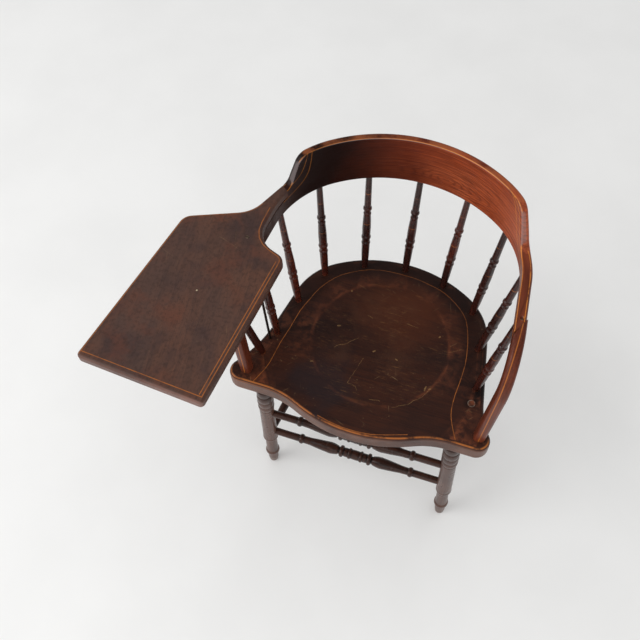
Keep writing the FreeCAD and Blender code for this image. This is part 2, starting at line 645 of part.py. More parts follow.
def leg(row, side):
    """One leg with its tenon in the seat, its foot cut level with the floor and its stretcher sockets."""
    label = f"leg_{row}_{named(side)}"
    foot, top = leg_point(row, 0, side), leg_point(row, seat_under, side)
    blank = turned(label, f"{row}_leg_reach", "leg_radius", leg_profile_shares, "leg_radius", "leg_tenon")
    blank.Placement = along(foot, top)
    floor = block(label + "_floor", "4 * leg_radius", "4 * leg_radius", "leg_radius * 2",
                  Placement(foot - Vector(1, 1, 1) * number("2 * leg_radius"), Rotation()))
    lands = [("front_upper_level", "x"), ("front_lower_level", "x"), ("side_level", "y")] if row == "front" \
        else [("side_level", "y"), ("back_level", "x")]
    sockets = []
    for level, way in lands:
        here = leg_point(row, number(level), side)
        other = leg_point(row, number(level), -side)
        if way == "y":
            other = leg_point("back" if row == "front" else "front", number(level), side)
        start = here + (other - here).normalize() * number("stretcher_short - depth_gap")
        sockets.append(drill(f"{label}_{level}_socket", start, other,
                             stretcher_end_radius(level) + " + socket_gap", "leg_radius * 2"))
    return cut(label, blank, [floor] + sockets)


# Stretchers between the legs

front_stretcher_profile_shares = [
    (0.0, 0.57, 0), (0.17, 0.58, 0), (0.175, 0.72, 0.07), (0.193, 0.72, 0), (0.198, 0.58, 0),
    (0.24, 0.62, 0.02), (0.355, 0.93, 0.03), (0.398, 0.72, 0), (0.402, 0.6, 0), (0.408, 0.62, 0),
    (0.41, 0.82, 0.14), (0.43, 0.82, 0), (0.432, 0.7, 0.03), (0.458, 0.72, 0), (0.46, 0.82, 0.07),
    (0.474, 0.82, 0), (0.475, 0.76, 0), (0.5, 0.78, 0),
]
first_half = front_stretcher_profile_shares[-2::-1]
front_stretcher_profile_shares += [(round(1 - here[0], 4), here[1], before[2])
                                   for here, before in zip(first_half, first_half[1:] + [(0, 0, 0)])]
plain_stretcher_profile_shares = [(0.0, 0.7, 0.0), (0.5, 1.0, 0.0), (1.0, 0.7, 0.0)]


def stretcher_end_radius(level):
    if level.startswith("front"):
        return f"{front_stretcher_profile_shares[0][1]} * stretcher_radius"
    return f"{plain_stretcher_profile_shares[0][1] + 0.03} * plain_stretcher_radius"


def stretcher(label, level, first, last):
    """A stretcher from one leg's axis to another's, stopping short of both axes."""
    if level.startswith("front"):
        piece = turned(label, label + "_reach", "stretcher_radius", front_stretcher_profile_shares)
    else:
        piece = turned(label, label + "_reach", "plain_stretcher_radius", plain_stretcher_profile_shares)
    way = (last - first).normalize()
    piece.Placement = along(first + way * number("stretcher_short"), last)
    return piece


legs = [leg(row, side) for row in ("front", "back") for side in SIDES]
stretchers = [stretcher(*ends) for ends in stretcher_ends]

# Bent arm posts, scarfed to the arms

def post_section(body, deep, wide):
    """A rectangle with rounded corners, across the post, of a depth and a width."""
    deep, wide = f"{deep} / 2", f"{wide} / 2"
    soft = "(1 - cos(45)) * post_round"
    return outline(body, "YZ_Plane", [
        (f"{deep} - post_round", f"-{wide}", soft), (deep, f"-{wide} + post_round", "0"),
        (deep, f"{wide} - post_round", soft), (f"{deep} - post_round", wide, "0"),
        (f"-{deep} + post_round", wide, soft), (f"-{deep}", f"{wide} - post_round", "0"),
        (f"-{deep}", f"-{wide} + post_round", soft), (f"-{deep} + post_round", f"-{wide}", "0"),
    ])


def post(side):
    """One bent post: a straight start in line with the arm, a bend, and a straight run to the seat."""
    label = f"arm_post_{named(side)}"
    body = new_body(label)
    lift = "post_tenon_radius"
    run = "((post_drop - post_bend_radius * (1 - cos(post_turn))) / sin(post_turn))"
    start = f"post_reach - post_bend_radius * sin(post_turn) - {run} * cos(post_turn)"
    bend_x = f"{start} + post_bend_radius * sin(post_turn)"
    bend_y = "post_bend_radius * (1 - cos(post_turn))"
    path = outline(body, "XY_Plane", [
        ("0", "0", "0"), (start, "0", "post_bend_radius * (1 - cos(post_turn / 2))"), (bend_x, bend_y, "0"),
        (f"{bend_x} + ({run} + {lift}) * cos(post_turn)",
         f"{bend_y} + ({run} + {lift}) * sin(post_turn)", "0"),
    ], closed=False)
    first = post_section(body, "arm_height", "rail_thick")
    last = post_section(body, "post_depth", "post_width")
    bind(last, **{".AttachmentOffset.Base.x": f"{bend_y} + ({run} + {lift}) * sin(post_turn)",
                  ".AttachmentOffset.Base.z": f"{bend_x} + ({run} + {lift}) * cos(post_turn)"})
    turn_sketch(last, "post_turn")
    pipe = body.newObject("PartDesign::AdditivePipe", body.Name + "_bend")
    pipe.Profile = first
    pipe.Spine = (path, ["Edge1", "Edge2", "Edge3"])
    pipe.Transformation = "Multisection"
    pipe.Sections = [(last, "")]
    forward, drop = sided(arm_way, side), sided(post_down, side)
    body.Placement = Placement(sided(post_start, side), Rotation(forward, drop, forward.cross(drop), "XYZ"))
    foot = sided(post_foot, side)
    way = drop.normalize() * number("sin(post_turn)") + forward * number("cos(post_turn)")
    behind = scarf_outer - scarf_inner
    square = Vector(-behind.y, behind.x, 0).normalize()
    cheek = [sided(behind, side), sided(square, side)][::side]
    corner = sided(scarf_inner - behind - square * number("joint_gap"), side)
    corner.z = number("rail_bottom - overrun")
    scarf = block(label + "_scarf", "post_bend_radius * 2", "post_bend_radius * 2",
                  "arm_height + 2 * overrun",
                  Placement(corner, Rotation(*cheek, cheek[0].cross(cheek[1]), "XYZ")))
    level = block(label + "_level", "4 * post_width", "4 * post_width", "2 * post_width",
                  Placement(foot - Vector(2, 2, 2) * number("post_width"), Rotation()))
    blank = cut(label + "_bend", body, [scarf, level])
    tenon = drill(label + "_tenon", foot - way * number("depth_gap"), foot + way, "post_tenon_radius",
                  "post_tenon + depth_gap")
    whole = document.addObject("Part::Fuse", label + "_whole")
    whole.Base, whole.Tool = blank, tenon
    return whole, foot, way


# Brace and rod under the tablet, plug and screws

straight_shares = [(0.0, 1.0, 0), (1.0, 1.0, 0)]
brace_profile_shares = [(0.0, 0.8, 0), (0.12, 0.97, 0.03), (0.88, 0.97, 0), (1.0, 0.8, 0)]
brace = turned("tablet_brace", "brace_reach", "brace_radius", brace_profile_shares,
               "brace_tenon", "brace_tenon")
brace.Placement = along(brace_foot, brace_head)
rod = turned("tie_rod", "rod_reach", "rod_radius", straight_shares, "rod_end", "rod_end")
rod.Placement = along(rod_foot, rod_head)
plug = document.addObject("Part::Cylinder", "seat_plug")
bind(plug, Radius="plug_radius", Height="plug_depth")
plug_low = Vector(number("plug_x"), number("plug_y"), number("seat_top - plug_depth"))
plug.Placement = Placement(plug_low, Rotation())


def screw(label, head_point, way):
    """A slotted screw whose head is level with head_point and whose point goes the way given."""
    body = new_body(label)
    sketch = outline(body, "XZ_Plane", [
        ("0", "-screw_length", "0"), ("screw_radius", "-screw_length + screw_radius * 2", "0"),
        ("screw_radius", "-screw_head_thick", "0"), ("screw_head_radius", "-screw_head_thick / 4", "0"),
        ("screw_head_radius", "0", "0"), ("0", "0", "0"),
    ])
    turning = body.newObject("PartDesign::Revolution", body.Name + "_turning")
    turning.Profile = sketch
    turning.ReferenceAxis = (sketch, ["V_Axis"])
    turning.Angle = 360
    slot = outline(body, "XY_Plane", [
        ("-screw_head_radius * 2", "-screw_slot / 2", "0"), ("screw_head_radius * 2", "-screw_slot / 2", "0"),
        ("screw_head_radius * 2", "screw_slot / 2", "0"), ("-screw_head_radius * 2", "screw_slot / 2", "0")])
    pocket(body, slot, "screw_head_thick / 2", False)
    body.Placement = along(head_point, head_point - way)
    return body


def screw_hole(label, head_point, way):
    """Cutters for a screw: a plain hole and a wider one for the head."""
    way = Vector(way).normalize()
    return [drill(label + "_shank", head_point - way * number("overrun"), head_point,
                  "screw_radius + socket_gap", "screw_length + overrun + depth_gap"),
            drill(label + "_head", head_point - way * number("overrun"), head_point,
                  "screw_head_radius + socket_gap", "screw_head_thick + overrun")]


tablet_screw_point = Vector(-number("tablet_screw_x"), number("tablet_screw_y"),
                            number(f"{tablet_top} - screw_sunk"))
tablet_screw = screw("tablet_screw", tablet_screw_point, down)
scarf_middle = (scarf_inner + scarf_outer) / 2
slope = math.radians(number("scarf_screw_slope"))
scarf_screw_way = Vector(arm_way.x * math.cos(slope), arm_way.y * math.cos(slope), -math.sin(slope))
scarf_screw_point = scarf_middle - arm_way * number("scarf_screw_back")
scarf_screw_point.z = number(f"{arm_top} - screw_head_thick")
scarf_screw = screw("scarf_screw", scarf_screw_point, scarf_screw_way)

# Holes and sockets

seat_cutters, rail_cutters, tablet_cutters = [], [], []
foot_radius = f"{spindle_profile_shares[0][1]} * spindle_radius + socket_gap"
head_radius = f"{spindle_profile_shares[-1][1]} * spindle_radius + socket_gap"
for label, foot, head in spindle_ends:
    way = (head - foot).normalize()
    back = way * number("overrun")
    seat_cutters.append(drill(f"seat_{label}_socket", foot + back, foot - way, foot_radius,
                              "spindle_foot_tenon + depth_gap + overrun"))
    rail_cutters.append(drill(f"rail_{label}_socket", head - back, head + way, head_radius,
                              "spindle_head_tenon + depth_gap + overrun"))
for row in ("front", "back"):
    for side in SIDES:
        foot = leg_point(row, 0, side)
        top = leg_point(row, seat_under, side)
        way = (top - foot).normalize()
        seat_cutters.append(drill(f"seat_{row}_{named(side)}_leg_socket", top - way * number("overrun"),
                                  top + way, f"{leg_profile_shares[-1][1]} * leg_radius + socket_gap",
                                  "leg_tenon + depth_gap + overrun"))
posts = []
for side in SIDES:
    whole, foot, way = post(side)
    seat_cutters.append(drill(f"seat_{named(side)}_post_socket", foot - way * number("overrun"), foot + way,
                              "post_tenon_radius + socket_gap", "post_tenon + depth_gap + overrun"))
    if side > 0:
        whole = cut("arm_post_right", whole,
                    screw_hole("post_screw_hole", scarf_screw_point, scarf_screw_way))
    whole.Label = f"arm_post_{named(side)}"
    posts.append(whole)
brace_way = (brace_head - brace_foot).normalize()
rod_way = (rod_head - rod_foot).normalize()
brace_hole = f"{brace_profile_shares[0][1]} * brace_radius + socket_gap"
for point, way, radius, depth, name in ((brace_foot, brace_way, brace_hole, "brace_tenon", "brace"),
                                        (rod_foot, rod_way, "rod_radius + socket_gap", "rod_end", "rod")):
    seat_cutters.append(drill(f"seat_{name}_socket", point + way * number("overrun"), point - way, radius,
                              f"{depth} + depth_gap + overrun"))
for point, way, radius, depth, name in ((brace_head, brace_way, brace_hole, "brace_tenon", "brace"),
                                        (rod_head, rod_way, "rod_radius + socket_gap", "rod_end", "rod")):
    tablet_cutters.append(drill(f"tablet_{name}_socket", point - way * number("overrun"), point + way, radius,
                                f"{depth} + depth_gap + overrun"))
plug_top = plug_low + Vector(0, 0, number("plug_depth + overrun"))
seat_cutters.append(drill("seat_plug_socket", plug_top, plug_top + down, "plug_radius + socket_gap",
                          "plug_depth + overrun + depth_gap"))
tablet_cutters += screw_hole("tablet_screw_hole", tablet_screw_point, down)
rail_cutters += screw_hole("rail_tablet_screw_hole", tablet_screw_point, down)
rail_cutters += screw_hole("rail_scarf_screw_hole", scarf_screw_point, scarf_screw_way)
pieces = [cut("seat", seat, seat_cutters), cut("back_rail", rail, rail_cutters),
          cut("writing_tablet", tablet, tablet_cutters)]
pieces += spindles + legs + stretchers + posts + [brace, rod, plug, tablet_screw, scarf_screw]
document.recompute()

# The origin goes under the middle of the whole chair

low, high = Vector(1, 1, 1) * math.inf, Vector(1, 1, 1) * -math.inf
for piece in pieces:
    box = piece.Shape.optimalBoundingBox(False, False)
    low = Vector(min(low.x, box.XMin), min(low.y, box.YMin), min(low.z, box.ZMin))
    high = Vector(max(high.x, box.XMax), max(high.y, box.YMax), max(high.z, box.ZMax))
shift = Vector(-(low.x + high.x) / 2, -(low.y + high.y) / 2, -low.z)
print("chair before the shift:", low, high)
for piece in pieces:
    piece.Placement = Placement(shift, Rotation()).multiply(piece.Placement)
document.recompute()

# Every object is checked before anything is written

for thing in document.Objects:
    if "Invalid" in thing.State or "Error" in thing.State:
        raise RuntimeError(f"{thing.Name} failed: {thing.State}")
os.makedirs("parts", exist_ok=True)
for piece in pieces:
    shape = piece.Shape
    if shape.isNull() or not shape.isValid() or len(shape.Solids) != 1:
        raise RuntimeError(f"{piece.Label} is not one sound solid")
for piece in pieces:
    piece.Shape.exportStep(f"parts/{piece.Label}.step")
    print(piece.Label, round(piece.Shape.Volume), [round(v) for v in (
        piece.Shape.BoundBox.XMin, piece.Shape.BoundBox.XMax, piece.Shape.BoundBox.YMin,
        piece.Shape.BoundBox.YMax, piece.Shape.BoundBox.ZMin, piece.Shape.BoundBox.ZMax)])
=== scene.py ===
# %% [markdown]
# # Dressing a writing arm windsor chair
#
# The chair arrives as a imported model: every turned, bent and sawn piece is already in its place,
# in metres, with the floor at z = 0 and the chair facing -Y. This script adds what the model
# doesn't have: stained and worn wood, painted pinstripes, dark iron, a pale studio floor, soft
# light and the camera.
# %% The model is loaded
import math

import bpy
from mathutils import Matrix, Vector


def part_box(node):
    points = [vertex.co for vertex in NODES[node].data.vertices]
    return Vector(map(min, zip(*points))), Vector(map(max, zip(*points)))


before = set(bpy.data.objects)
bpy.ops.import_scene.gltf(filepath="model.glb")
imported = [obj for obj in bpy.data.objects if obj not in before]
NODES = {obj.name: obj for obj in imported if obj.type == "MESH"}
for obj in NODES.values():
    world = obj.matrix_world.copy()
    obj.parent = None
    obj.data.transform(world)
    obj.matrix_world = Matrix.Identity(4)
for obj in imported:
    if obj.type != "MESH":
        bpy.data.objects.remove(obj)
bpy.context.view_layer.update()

# %% [markdown]
# ## Places on the chair
#
# A painted line is easiest to describe in the chair's own plan: millimetres to the right of its
# middle plane and millimetres behind the feet of the arm posts. The bent rail is symmetrical, so
# its box gives the middle plane and the back of the chair, and with those a place in the plan
# becomes a place in the model.
# %% Plan to model
MM = 0.001
RAIL_BACK_MM = 393.35
FLAT = (1.0, 1.0, 0.0)
rail_low, rail_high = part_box("back_rail")
MIDDLE_X = (rail_low.x + rail_high.x) / 2
START_Y = rail_high.y - RAIL_BACK_MM * MM
SEAT_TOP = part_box("seat")[1].z
TABLET_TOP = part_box("writing_tablet")[1].z
CREST = rail_high.z


def plan(x, y, z=0.0):
    """A place in the model from millimetres in the chair's plan."""
    return Vector((MIDDLE_X + x * MM, START_Y + y * MM, z * MM))


print("middle plane at", round(MIDDLE_X, 4), "seat", round(SEAT_TOP, 4))
print("tablet", round(TABLET_TOP, 4), "crest", round(CREST, 4))

# %% [markdown]
# ## Small helpers for shader nodes
#
# A material is a graph. Building it by hand takes three moves over and over: put a node down,
# set or feed its sockets, and pass a socket on. These helpers do just that, so that the recipes
# below read as recipes.
# %% Nodes and sums


def feed(tree, node, feeds):
    """A value or another socket for each named or numbered input of a node."""
    for name, value in feeds.items():
        if isinstance(value, bpy.types.NodeSocket):
            tree.links.new(value, node.inputs[name])
        else:
            node.inputs[name].default_value = value


def put(tree, kind, feeds=None, **settings):
    """One new shader node with its settings and its feeds."""
    made = tree.nodes.new("ShaderNode" + kind)
    for name, value in settings.items():
        setattr(made, name, value)
    feed(tree, made, feeds or {})
    return made


def maths(tree, operation, *feeds, clamp=False):
    """A sum of numbers."""
    made = put(tree, "Math", dict(enumerate(feeds)), operation=operation)
    made.use_clamp = clamp
    return made.outputs[0]


def times(tree, first, second):
    return maths(tree, "MULTIPLY", first, second)


def vectors(tree, operation, *feeds, number=False):
    """A sum of places, or a number such as their distance."""
    made = put(tree, "VectorMath", dict(enumerate(feeds)), operation=operation)
    return made.outputs["Value" if number else "Vector"]


def split(tree, place):
    """The X, Y and Z of a place or a direction."""
    return put(tree, "SeparateXYZ", {0: place}).outputs


def facing(tree):
    """The X, Y and Z of the way the surface faces."""
    return split(tree, put(tree, "NewGeometry").outputs["Normal"])


def new_material(name):
    """A plain material, its graph, and the node of its surface."""
    made = bpy.data.materials.new(name)
    made.use_nodes = True
    return made, made.node_tree, made.node_tree.nodes["Principled BSDF"]


print(len(bpy.data.materials), "materials so far")

# %% [markdown]
# ## Masks and stains
#
# Nearly every effect is a mask between 0 and 1: a height, a distance or a noise that rises
# between two levels. A noise is written as its scale, detail and roughness, followed by the
# levels between which it rises, so that each kind of patch is one line of numbers with a name.
# %% Masks


def rise(tree, value, low, high, start=0.0, end=1.0):
    """A smooth step of a value from one level to another."""
    feeds = {"Value": value, "From Min": low, "From Max": high, "To Min": start, "To Max": end}
    return put(tree, "MapRange", feeds, interpolation_type="SMOOTHSTEP").outputs["Result"]


def band(tree, value, low, high, soft):
    """One where a value lies between two levels, with soft ends."""
    return times(tree, rise(tree, value, low - soft, low + soft),
                 rise(tree, value, high - soft, high + soft, 1, 0))


def noise(tree, place, scale, detail=2.0, rough=0.5):
    feeds = {"Vector": place, "Scale": scale, "Detail": detail, "Roughness": rough}
    return put(tree, "TexNoise", feeds).outputs["Fac"]


def patchy(tree, place, scale, detail, rough, *levels):
    """A noise that rises between two levels, so that it makes patches."""
    return rise(tree, noise(tree, place, scale, detail, rough), *levels)


def sway(tree, value, amount):
    """A noise turned into a shift that goes to both sides."""
    return maths(tree, "MULTIPLY_ADD", value, amount, -amount / 2)


def tint(tree, factor, first, second):
    """A colour between two, by a factor."""
    return put(tree, "Mix", {0: factor, 6: first, 7: second}, data_type="RGBA").outputs[2]


def stain(tree, colour, mask, share, other):
    """A colour stained with another one where a mask says so, by a share at most."""
    return tint(tree, times(tree, mask, share), colour, other)


def shade(red, green, blue):
    """A colour from its screen values, 0 to 255."""
    def linear(v):
        v /= 255
        return v / 12.92 if v <= 0.04045 else ((v + 0.055) / 1.055) ** 2.4
    return (linear(red), linear(green), linear(blue), 1.0)


print("a middle grey is", round(shade(128, 128, 128)[0], 3), "of white")

# %% Groups


def new_group(name, inputs, outputs):
    """An empty shader group with named sockets, and its inputs and outputs as nodes."""
    tree = bpy.data.node_groups.new(name, "ShaderNodeTree")
    for way, sockets in (("INPUT", inputs), ("OUTPUT", outputs)):
        for socket, kind in sockets.items():
            tree.interface.new_socket(name=socket, in_out=way, socket_type="NodeSocket" + kind)
    given, gives = tree.nodes.new("NodeGroupInput"), tree.nodes.new("NodeGroupOutput")
    return tree, given.outputs, gives.inputs


def use(tree, group, feeds):
    """A group placed in a material, with its own values."""
    return put(tree, "Group", feeds, node_tree=group).outputs


print(len(bpy.data.node_groups), "groups so far")

# %% [markdown]
# ## Grain
#
# Real boards are cut from growth rings, so their figure is a stack of rings stretched along the
# trunk and swayed by slow noise. The group takes a place whose X runs along the grain and gives
# a colour that moves between a deep, a plain and a warm stain, and a height for the pores. It
# could be an image, but a ring pattern stays sharp near by.
# %% Grain group
RING_STRETCH, PORE_STRETCH, STREAK_STRETCH = (0.1, 1.0, 1.0), (0.05, 1.0, 1.0), (0.06, 1.0, 1.0)
RING_LOOK = {"Distortion": 7.0, "Detail": 3.0, "Detail Scale": 0.9, "Detail Roughness": 0.6}
PORES = (900.0, 2.0, 0.5, 0.56, 0.7)
STREAKS = (210.0, 3.0, 0.65, 0.42, 0.7)
DRIFT, DRIFT_SHARE = (11.0, 4.0, 0.55), 0.6
PATCHES, PATCH_SHARE = (7.0, 3.0, 0.6), 0.4
TONES = (0.4, 0.62)
LATEWOOD_POWER = 2.5
PORE_SHARE, RING_RELIEF = 0.45, 0.35
grain, given, gives = new_group(
    "wood_grain",
    {"Position": "Vector", "Rings": "Float", "Deep": "Color", "Plain": "Color", "Warm": "Color",
     "Figure": "Float"},
    {"Color": "Color", "Height": "Float"})
squeezed = vectors(grain, "MULTIPLY", given["Position"], RING_STRETCH)
rings = put(grain, "TexWave", {"Vector": squeezed, "Scale": given["Rings"], **RING_LOOK},
            wave_type="RINGS", rings_direction="X", wave_profile="SAW").outputs["Fac"]
pores = patchy(grain, vectors(grain, "MULTIPLY", given["Position"], PORE_STRETCH), *PORES)
drift = noise(grain, squeezed, *DRIFT)
patches = noise(grain, given["Position"], *PATCHES)
tone = maths(grain, "ADD", times(grain, drift, DRIFT_SHARE), times(grain, patches, PATCH_SHARE))
tone = rise(grain, tone, *TONES)
streaks = patchy(grain, vectors(grain, "MULTIPLY", given["Position"], STREAK_STRETCH), *STREAKS)
latewood = maths(grain, "POWER", rings, LATEWOOD_POWER)
stained = tint(grain, tone, given["Plain"], given["Warm"])
for mask, share in ((latewood, given["Figure"]), (streaks, given["Figure"]), (pores, PORE_SHARE)):
    stained = stain(grain, stained, mask, share, given["Deep"])
grain.links.new(stained, gives["Color"])
relief = maths(grain, "SUBTRACT", times(grain, rings, RING_RELIEF), pores)
grain.links.new(relief, gives["Height"])
print("group", grain.name, "has", len(grain.nodes), "nodes")

# %% [markdown]
# ## Wear
#
# A chair this old is rubbed bare where hands and clothes reach it: on the crests of beads, along
# arrises, and in flecks and fine scratches over the flats. Cycles' pointiness says where the
# surface is sharp, and where it is hollow and keeps dirt. Streaks of stretched noise in three
# directions make scratches that don't look combed.
# %% Edge wear group
BROKEN = (60.0, 4.0, 0.65, 0.36, 0.62)
HOLLOW = (0.495, 0.47)
edge_wear, given, gives = new_group(
    "edge_wear", {"Position": "Vector", "From": "Float", "To": "Float"},
    {"Mask": "Float", "Dirt": "Float"})
sharp = put(edge_wear, "NewGeometry").outputs["Pointiness"]
broken = patchy(edge_wear, given["Position"], *BROKEN)
mask = rise(edge_wear, sharp, given["From"], given["To"])
edge_wear.links.new(times(edge_wear, mask, broken), gives["Mask"])
edge_wear.links.new(rise(edge_wear, sharp, *HOLLOW), gives["Dirt"])
print("group", edge_wear.name, "has", len(edge_wear.nodes), "nodes")

# %% Scuffs group
WHERE_SCUFFED = (14.0, 2.0, 0.5, 0.46, 0.66)
SCRATCH_TURNS = (0.35, 1.25, 2.3)
SCRATCH_STRETCH = (0.045, 1.0, 1.0)
SCRATCH_SCALE, SCALE_BY_TURN = 330.0, 60
SCRATCH_LEVELS = (0.73, 0.79)
SPOTS = (130.0, 3.0, 0.6, 0.66, 0.74)
scuffs, given, gives = new_group(
    "scuffs", {"Position": "Vector", "Patch": "Float"}, {"Scratches": "Float", "Flecks": "Float"})
where = patchy(scuffs, given["Position"], *WHERE_SCUFFED)
scratches = None
for turn in SCRATCH_TURNS:
    turned = put(scuffs, "VectorRotate", {"Vector": given["Position"], "Angle": turn},
                 rotation_type="Z_AXIS").outputs["Vector"]
    turned = vectors(scuffs, "MULTIPLY", turned, SCRATCH_STRETCH)
    scratch = noise(scuffs, turned, SCRATCH_SCALE + SCALE_BY_TURN * turn, 1.0)
    scratch = rise(scuffs, scratch, *SCRATCH_LEVELS)
    scratches = scratch if scratches is None else maths(scuffs, "MAXIMUM", scratches, scratch)
spots = patchy(scuffs, given["Position"], *SPOTS)
here = times(scuffs, where, given["Patch"])
scuffs.links.new(times(scuffs, scratches, here), gives["Scratches"])
scuffs.links.new(times(scuffs, spots, here), gives["Flecks"])
print("group", scuffs.name, "has", len(scuffs.nodes), "nodes")

# %% [markdown]
# ## Painted pinstripes
#
# The stripes are brush lines in orange paint, lying flush in the finish. Thin ribbons of mesh
# would float over the wood or sink into it, so the paint is a mask in the material: the distance
# from a point to each short run of a line, the least of them all, and paint wherever that is
# under half a stripe's width. Each run adds a trace of the least distance so far to the place
# that it hands on, so the runs have to be worked out in turn, and the renderer never holds them
# all at once. Old paint is broken by wear.
# %% Stripe run group
HAND_ON = 1e-9
run, given, gives = new_group(
    "stripe_run", {"Position": "Vector", "Start": "Vector", "End": "Vector", "Nearest": "Float"},
    {"Distance": "Float", "Position": "Vector"})
along = vectors(run, "SUBTRACT", given["End"], given["Start"])
offset = vectors(run, "SUBTRACT", given["Position"], given["Start"])
share = maths(run, "DIVIDE", vectors(run, "DOT_PRODUCT", offset, along, number=True),
              vectors(run, "DOT_PRODUCT", along, along, number=True), clamp=True)
spot = put(run, "VectorMath", {0: along, "Scale": share}, operation="SCALE").outputs["Vector"]
gap = vectors(run, "DISTANCE", offset, spot, number=True)
run.links.new(maths(run, "MINIMUM", gap, given["Nearest"]), gives["Distance"])
trace = times(run, given["Nearest"], HAND_ON)
run.links.new(vectors(run, "ADD", given["Position"], trace), gives["Position"])
print("group", run.name, "has", len(run.nodes), "nodes")

# %% Stripe paint group
RAGGED, RAGGED_MM = (260.0, 2.0), 0.7
EDGE_SHARPNESS = 3000.0
PAINT_LEFT = (45.0, 4.0, 0.7, 0.3, 0.55)
paint, given, gives = new_group(
    "stripe_paint",
    {"Position": "Vector", "Distance": "Float", "Width": "Float", "Wear": "Float"},
    {"Mask": "Float"})
ragged = sway(paint, noise(paint, given["Position"], *RAGGED), RAGGED_MM * MM)
edge = maths(paint, "SUBTRACT", times(paint, given["Width"], 0.5),
             maths(paint, "ADD", given["Distance"], ragged))
solid = maths(paint, "MULTIPLY", edge, EDGE_SHARPNESS, clamp=True)
rubbed = patchy(paint, given["Position"], *PAINT_LEFT)
lost = times(paint, given["Wear"], maths(paint, "SUBTRACT", 1.0, rubbed))
paint.links.new(times(paint, solid, maths(paint, "SUBTRACT", 1.0, lost)), gives["Mask"])
print("group", paint.name, "has", len(paint.nodes), "nodes")

# %% Lines through given points
FAR = 10.0


def smooth_line(points, parts):
    """More points along a line, on a curve that passes through the given ones."""
    ends = [points[0] * 2 - points[1]] + points + [points[-1] * 2 - points[-2]]
    line = []
    for a, b, c, d in zip(ends, ends[1:], ends[2:], ends[3:]):
        for step in range(parts):
            t = step / parts
            line.append((b * 2 + (c - a) * t + (a * 2 - b * 5 + c * 4 - d) * t ** 2
                         + (b * 3 - a - c * 3 + d) * t ** 3) / 2)
    return line + [points[-1]]


def distance_to(tree, place, lines):
    """The distance from a place to the nearest of some lines, run by run."""
    nearest = FAR
    for line in lines:
        for start, end in zip(line, line[1:]):
            done = use(tree, run, {"Position": place, "Start": start, "End": end,
                                   "Nearest": nearest})
            nearest, place = done["Distance"], done["Position"]
    return nearest


def painted(tree, place, distance, width, wear):
    """The mask of a stripe by its distance, its width in millimetres and how much is worn off."""
    return use(tree, paint, {"Position": place, "Distance": distance, "Width": width * MM,
                             "Wear": wear})["Mask"]


corner_line = smooth_line([plan(0, 0), plan(10, 0), plan(10, 10)], 4)
print("three points make a curve of", len(corner_line))

# %% [markdown]
# ## The finish of a piece
#
# All the wood shares one old varnished finish, so one recipe makes every wood material: grain,
# then worn edges and dirty hollows, then scuffs, then what only this piece has, then paint, over
# a satin varnish. What differs is the way the grain runs, the stains and the stripes.
# %% Wood recipe
STRIPE = shade(164, 94, 38)
RUBBED = shade(126, 66, 38)
FLECK = shade(150, 122, 84)
DIRT, DIRT_SHARE = shade(20, 13, 12), 0.9
UNEVEN, UNEVEN_ROUGH = (38.0, 3.0), 0.2
DULL_ROUGH = 0.16
SCRATCH_DEPTH = 2.0
BUMP = {"Strength": 0.22, "Distance": 0.0006}
COAT, COAT_ROUGH = 0.12, 0.34


def wood(name, way, stains, rings, figure, patch, rough, worn=(0.515, 0.56), stripes=None,
         stripe=STRIPE, extra=None, scratch=0.2, rub=0.75, gloss=0.2):
    """A stained and varnished wood. way(tree, place) turns a place so that X follows the grain.

    stains are its deep, plain and warm colour, and worn is the pointiness from which edges are
    rubbed. stripes(tree, place) gives masks of paint, and extra changes the colour before that.
    """
    material, tree, surface = new_material(name)
    place = put(tree, "TexCoord").outputs["Object"]
    deep, plain, warm = stains
    figured = use(tree, grain, {"Position": way(tree, place), "Rings": rings, "Deep": deep,
                                "Plain": plain, "Warm": warm, "Figure": figure})
    marks = use(tree, scuffs, {"Position": place, "Patch": patch})
    edge = use(tree, edge_wear, {"Position": place, "From": worn[0], "To": worn[1]})
    colour = stain(tree, figured["Color"], edge["Mask"], rub, RUBBED)
    colour = stain(tree, colour, edge["Dirt"], DIRT_SHARE, DIRT)
    colour = stain(tree, colour, marks["Scratches"], scratch, FLECK)
    colour = stain(tree, colour, marks["Flecks"], scratch, FLECK)
    dull = maths(tree, "MAXIMUM", marks["Flecks"], edge["Mask"])
    if extra:
        colour, dull = extra(tree, place, colour, dull)
    if stripes:
        for mask in stripes(tree, place):
            colour = tint(tree, mask, colour, stripe)
    uneven = maths(tree, "MULTIPLY_ADD", noise(tree, place, *UNEVEN), UNEVEN_ROUGH,
                   rough - UNEVEN_ROUGH / 2)
    uneven = maths(tree, "MULTIPLY_ADD", dull, DULL_ROUGH, uneven)
    relief = maths(tree, "SUBTRACT", figured["Height"],
                   times(tree, marks["Scratches"], SCRATCH_DEPTH))
    bump = put(tree, "Bump", {"Height": relief, **BUMP}).outputs["Normal"]
    feed(tree, surface, {"Base Color": colour, "Roughness": uneven, "Normal": bump,
                         "Coat Weight": COAT, "Coat Roughness": COAT_ROUGH,
                         "Specular IOR Level": gloss})
    return material


print("a coat of", COAT, "over every wood")

# %% Ways of grain and dressing


def turned_by(x=0.0, y=0.0, z=0.0):
    """A way of grain that is the model's axes turned by fixed angles, in degrees."""
    angles = tuple(math.radians(a) for a in (x, y, z))

    def way(tree, place):
        feeds = {"Vector": place, "Rotation": angles}
        return put(tree, "Mapping", feeds, vector_type="POINT").outputs[0]
    return way


def dress(material, *names):
    """Give a material to pieces of the model."""
    for name in names:
        piece = NODES[name]
        piece.data.materials.clear()
        piece.data.materials.append(material)
    print(material.name, "on", len(names), "pieces,", len(material.node_tree.nodes), "nodes")


ACROSS, BACKWARDS, UPRIGHT, ALONG_TABLET = (turned_by(), turned_by(z=90), turned_by(y=90),
                                            turned_by(z=83))
print("grain runs across, backwards, upright or along the tablet")

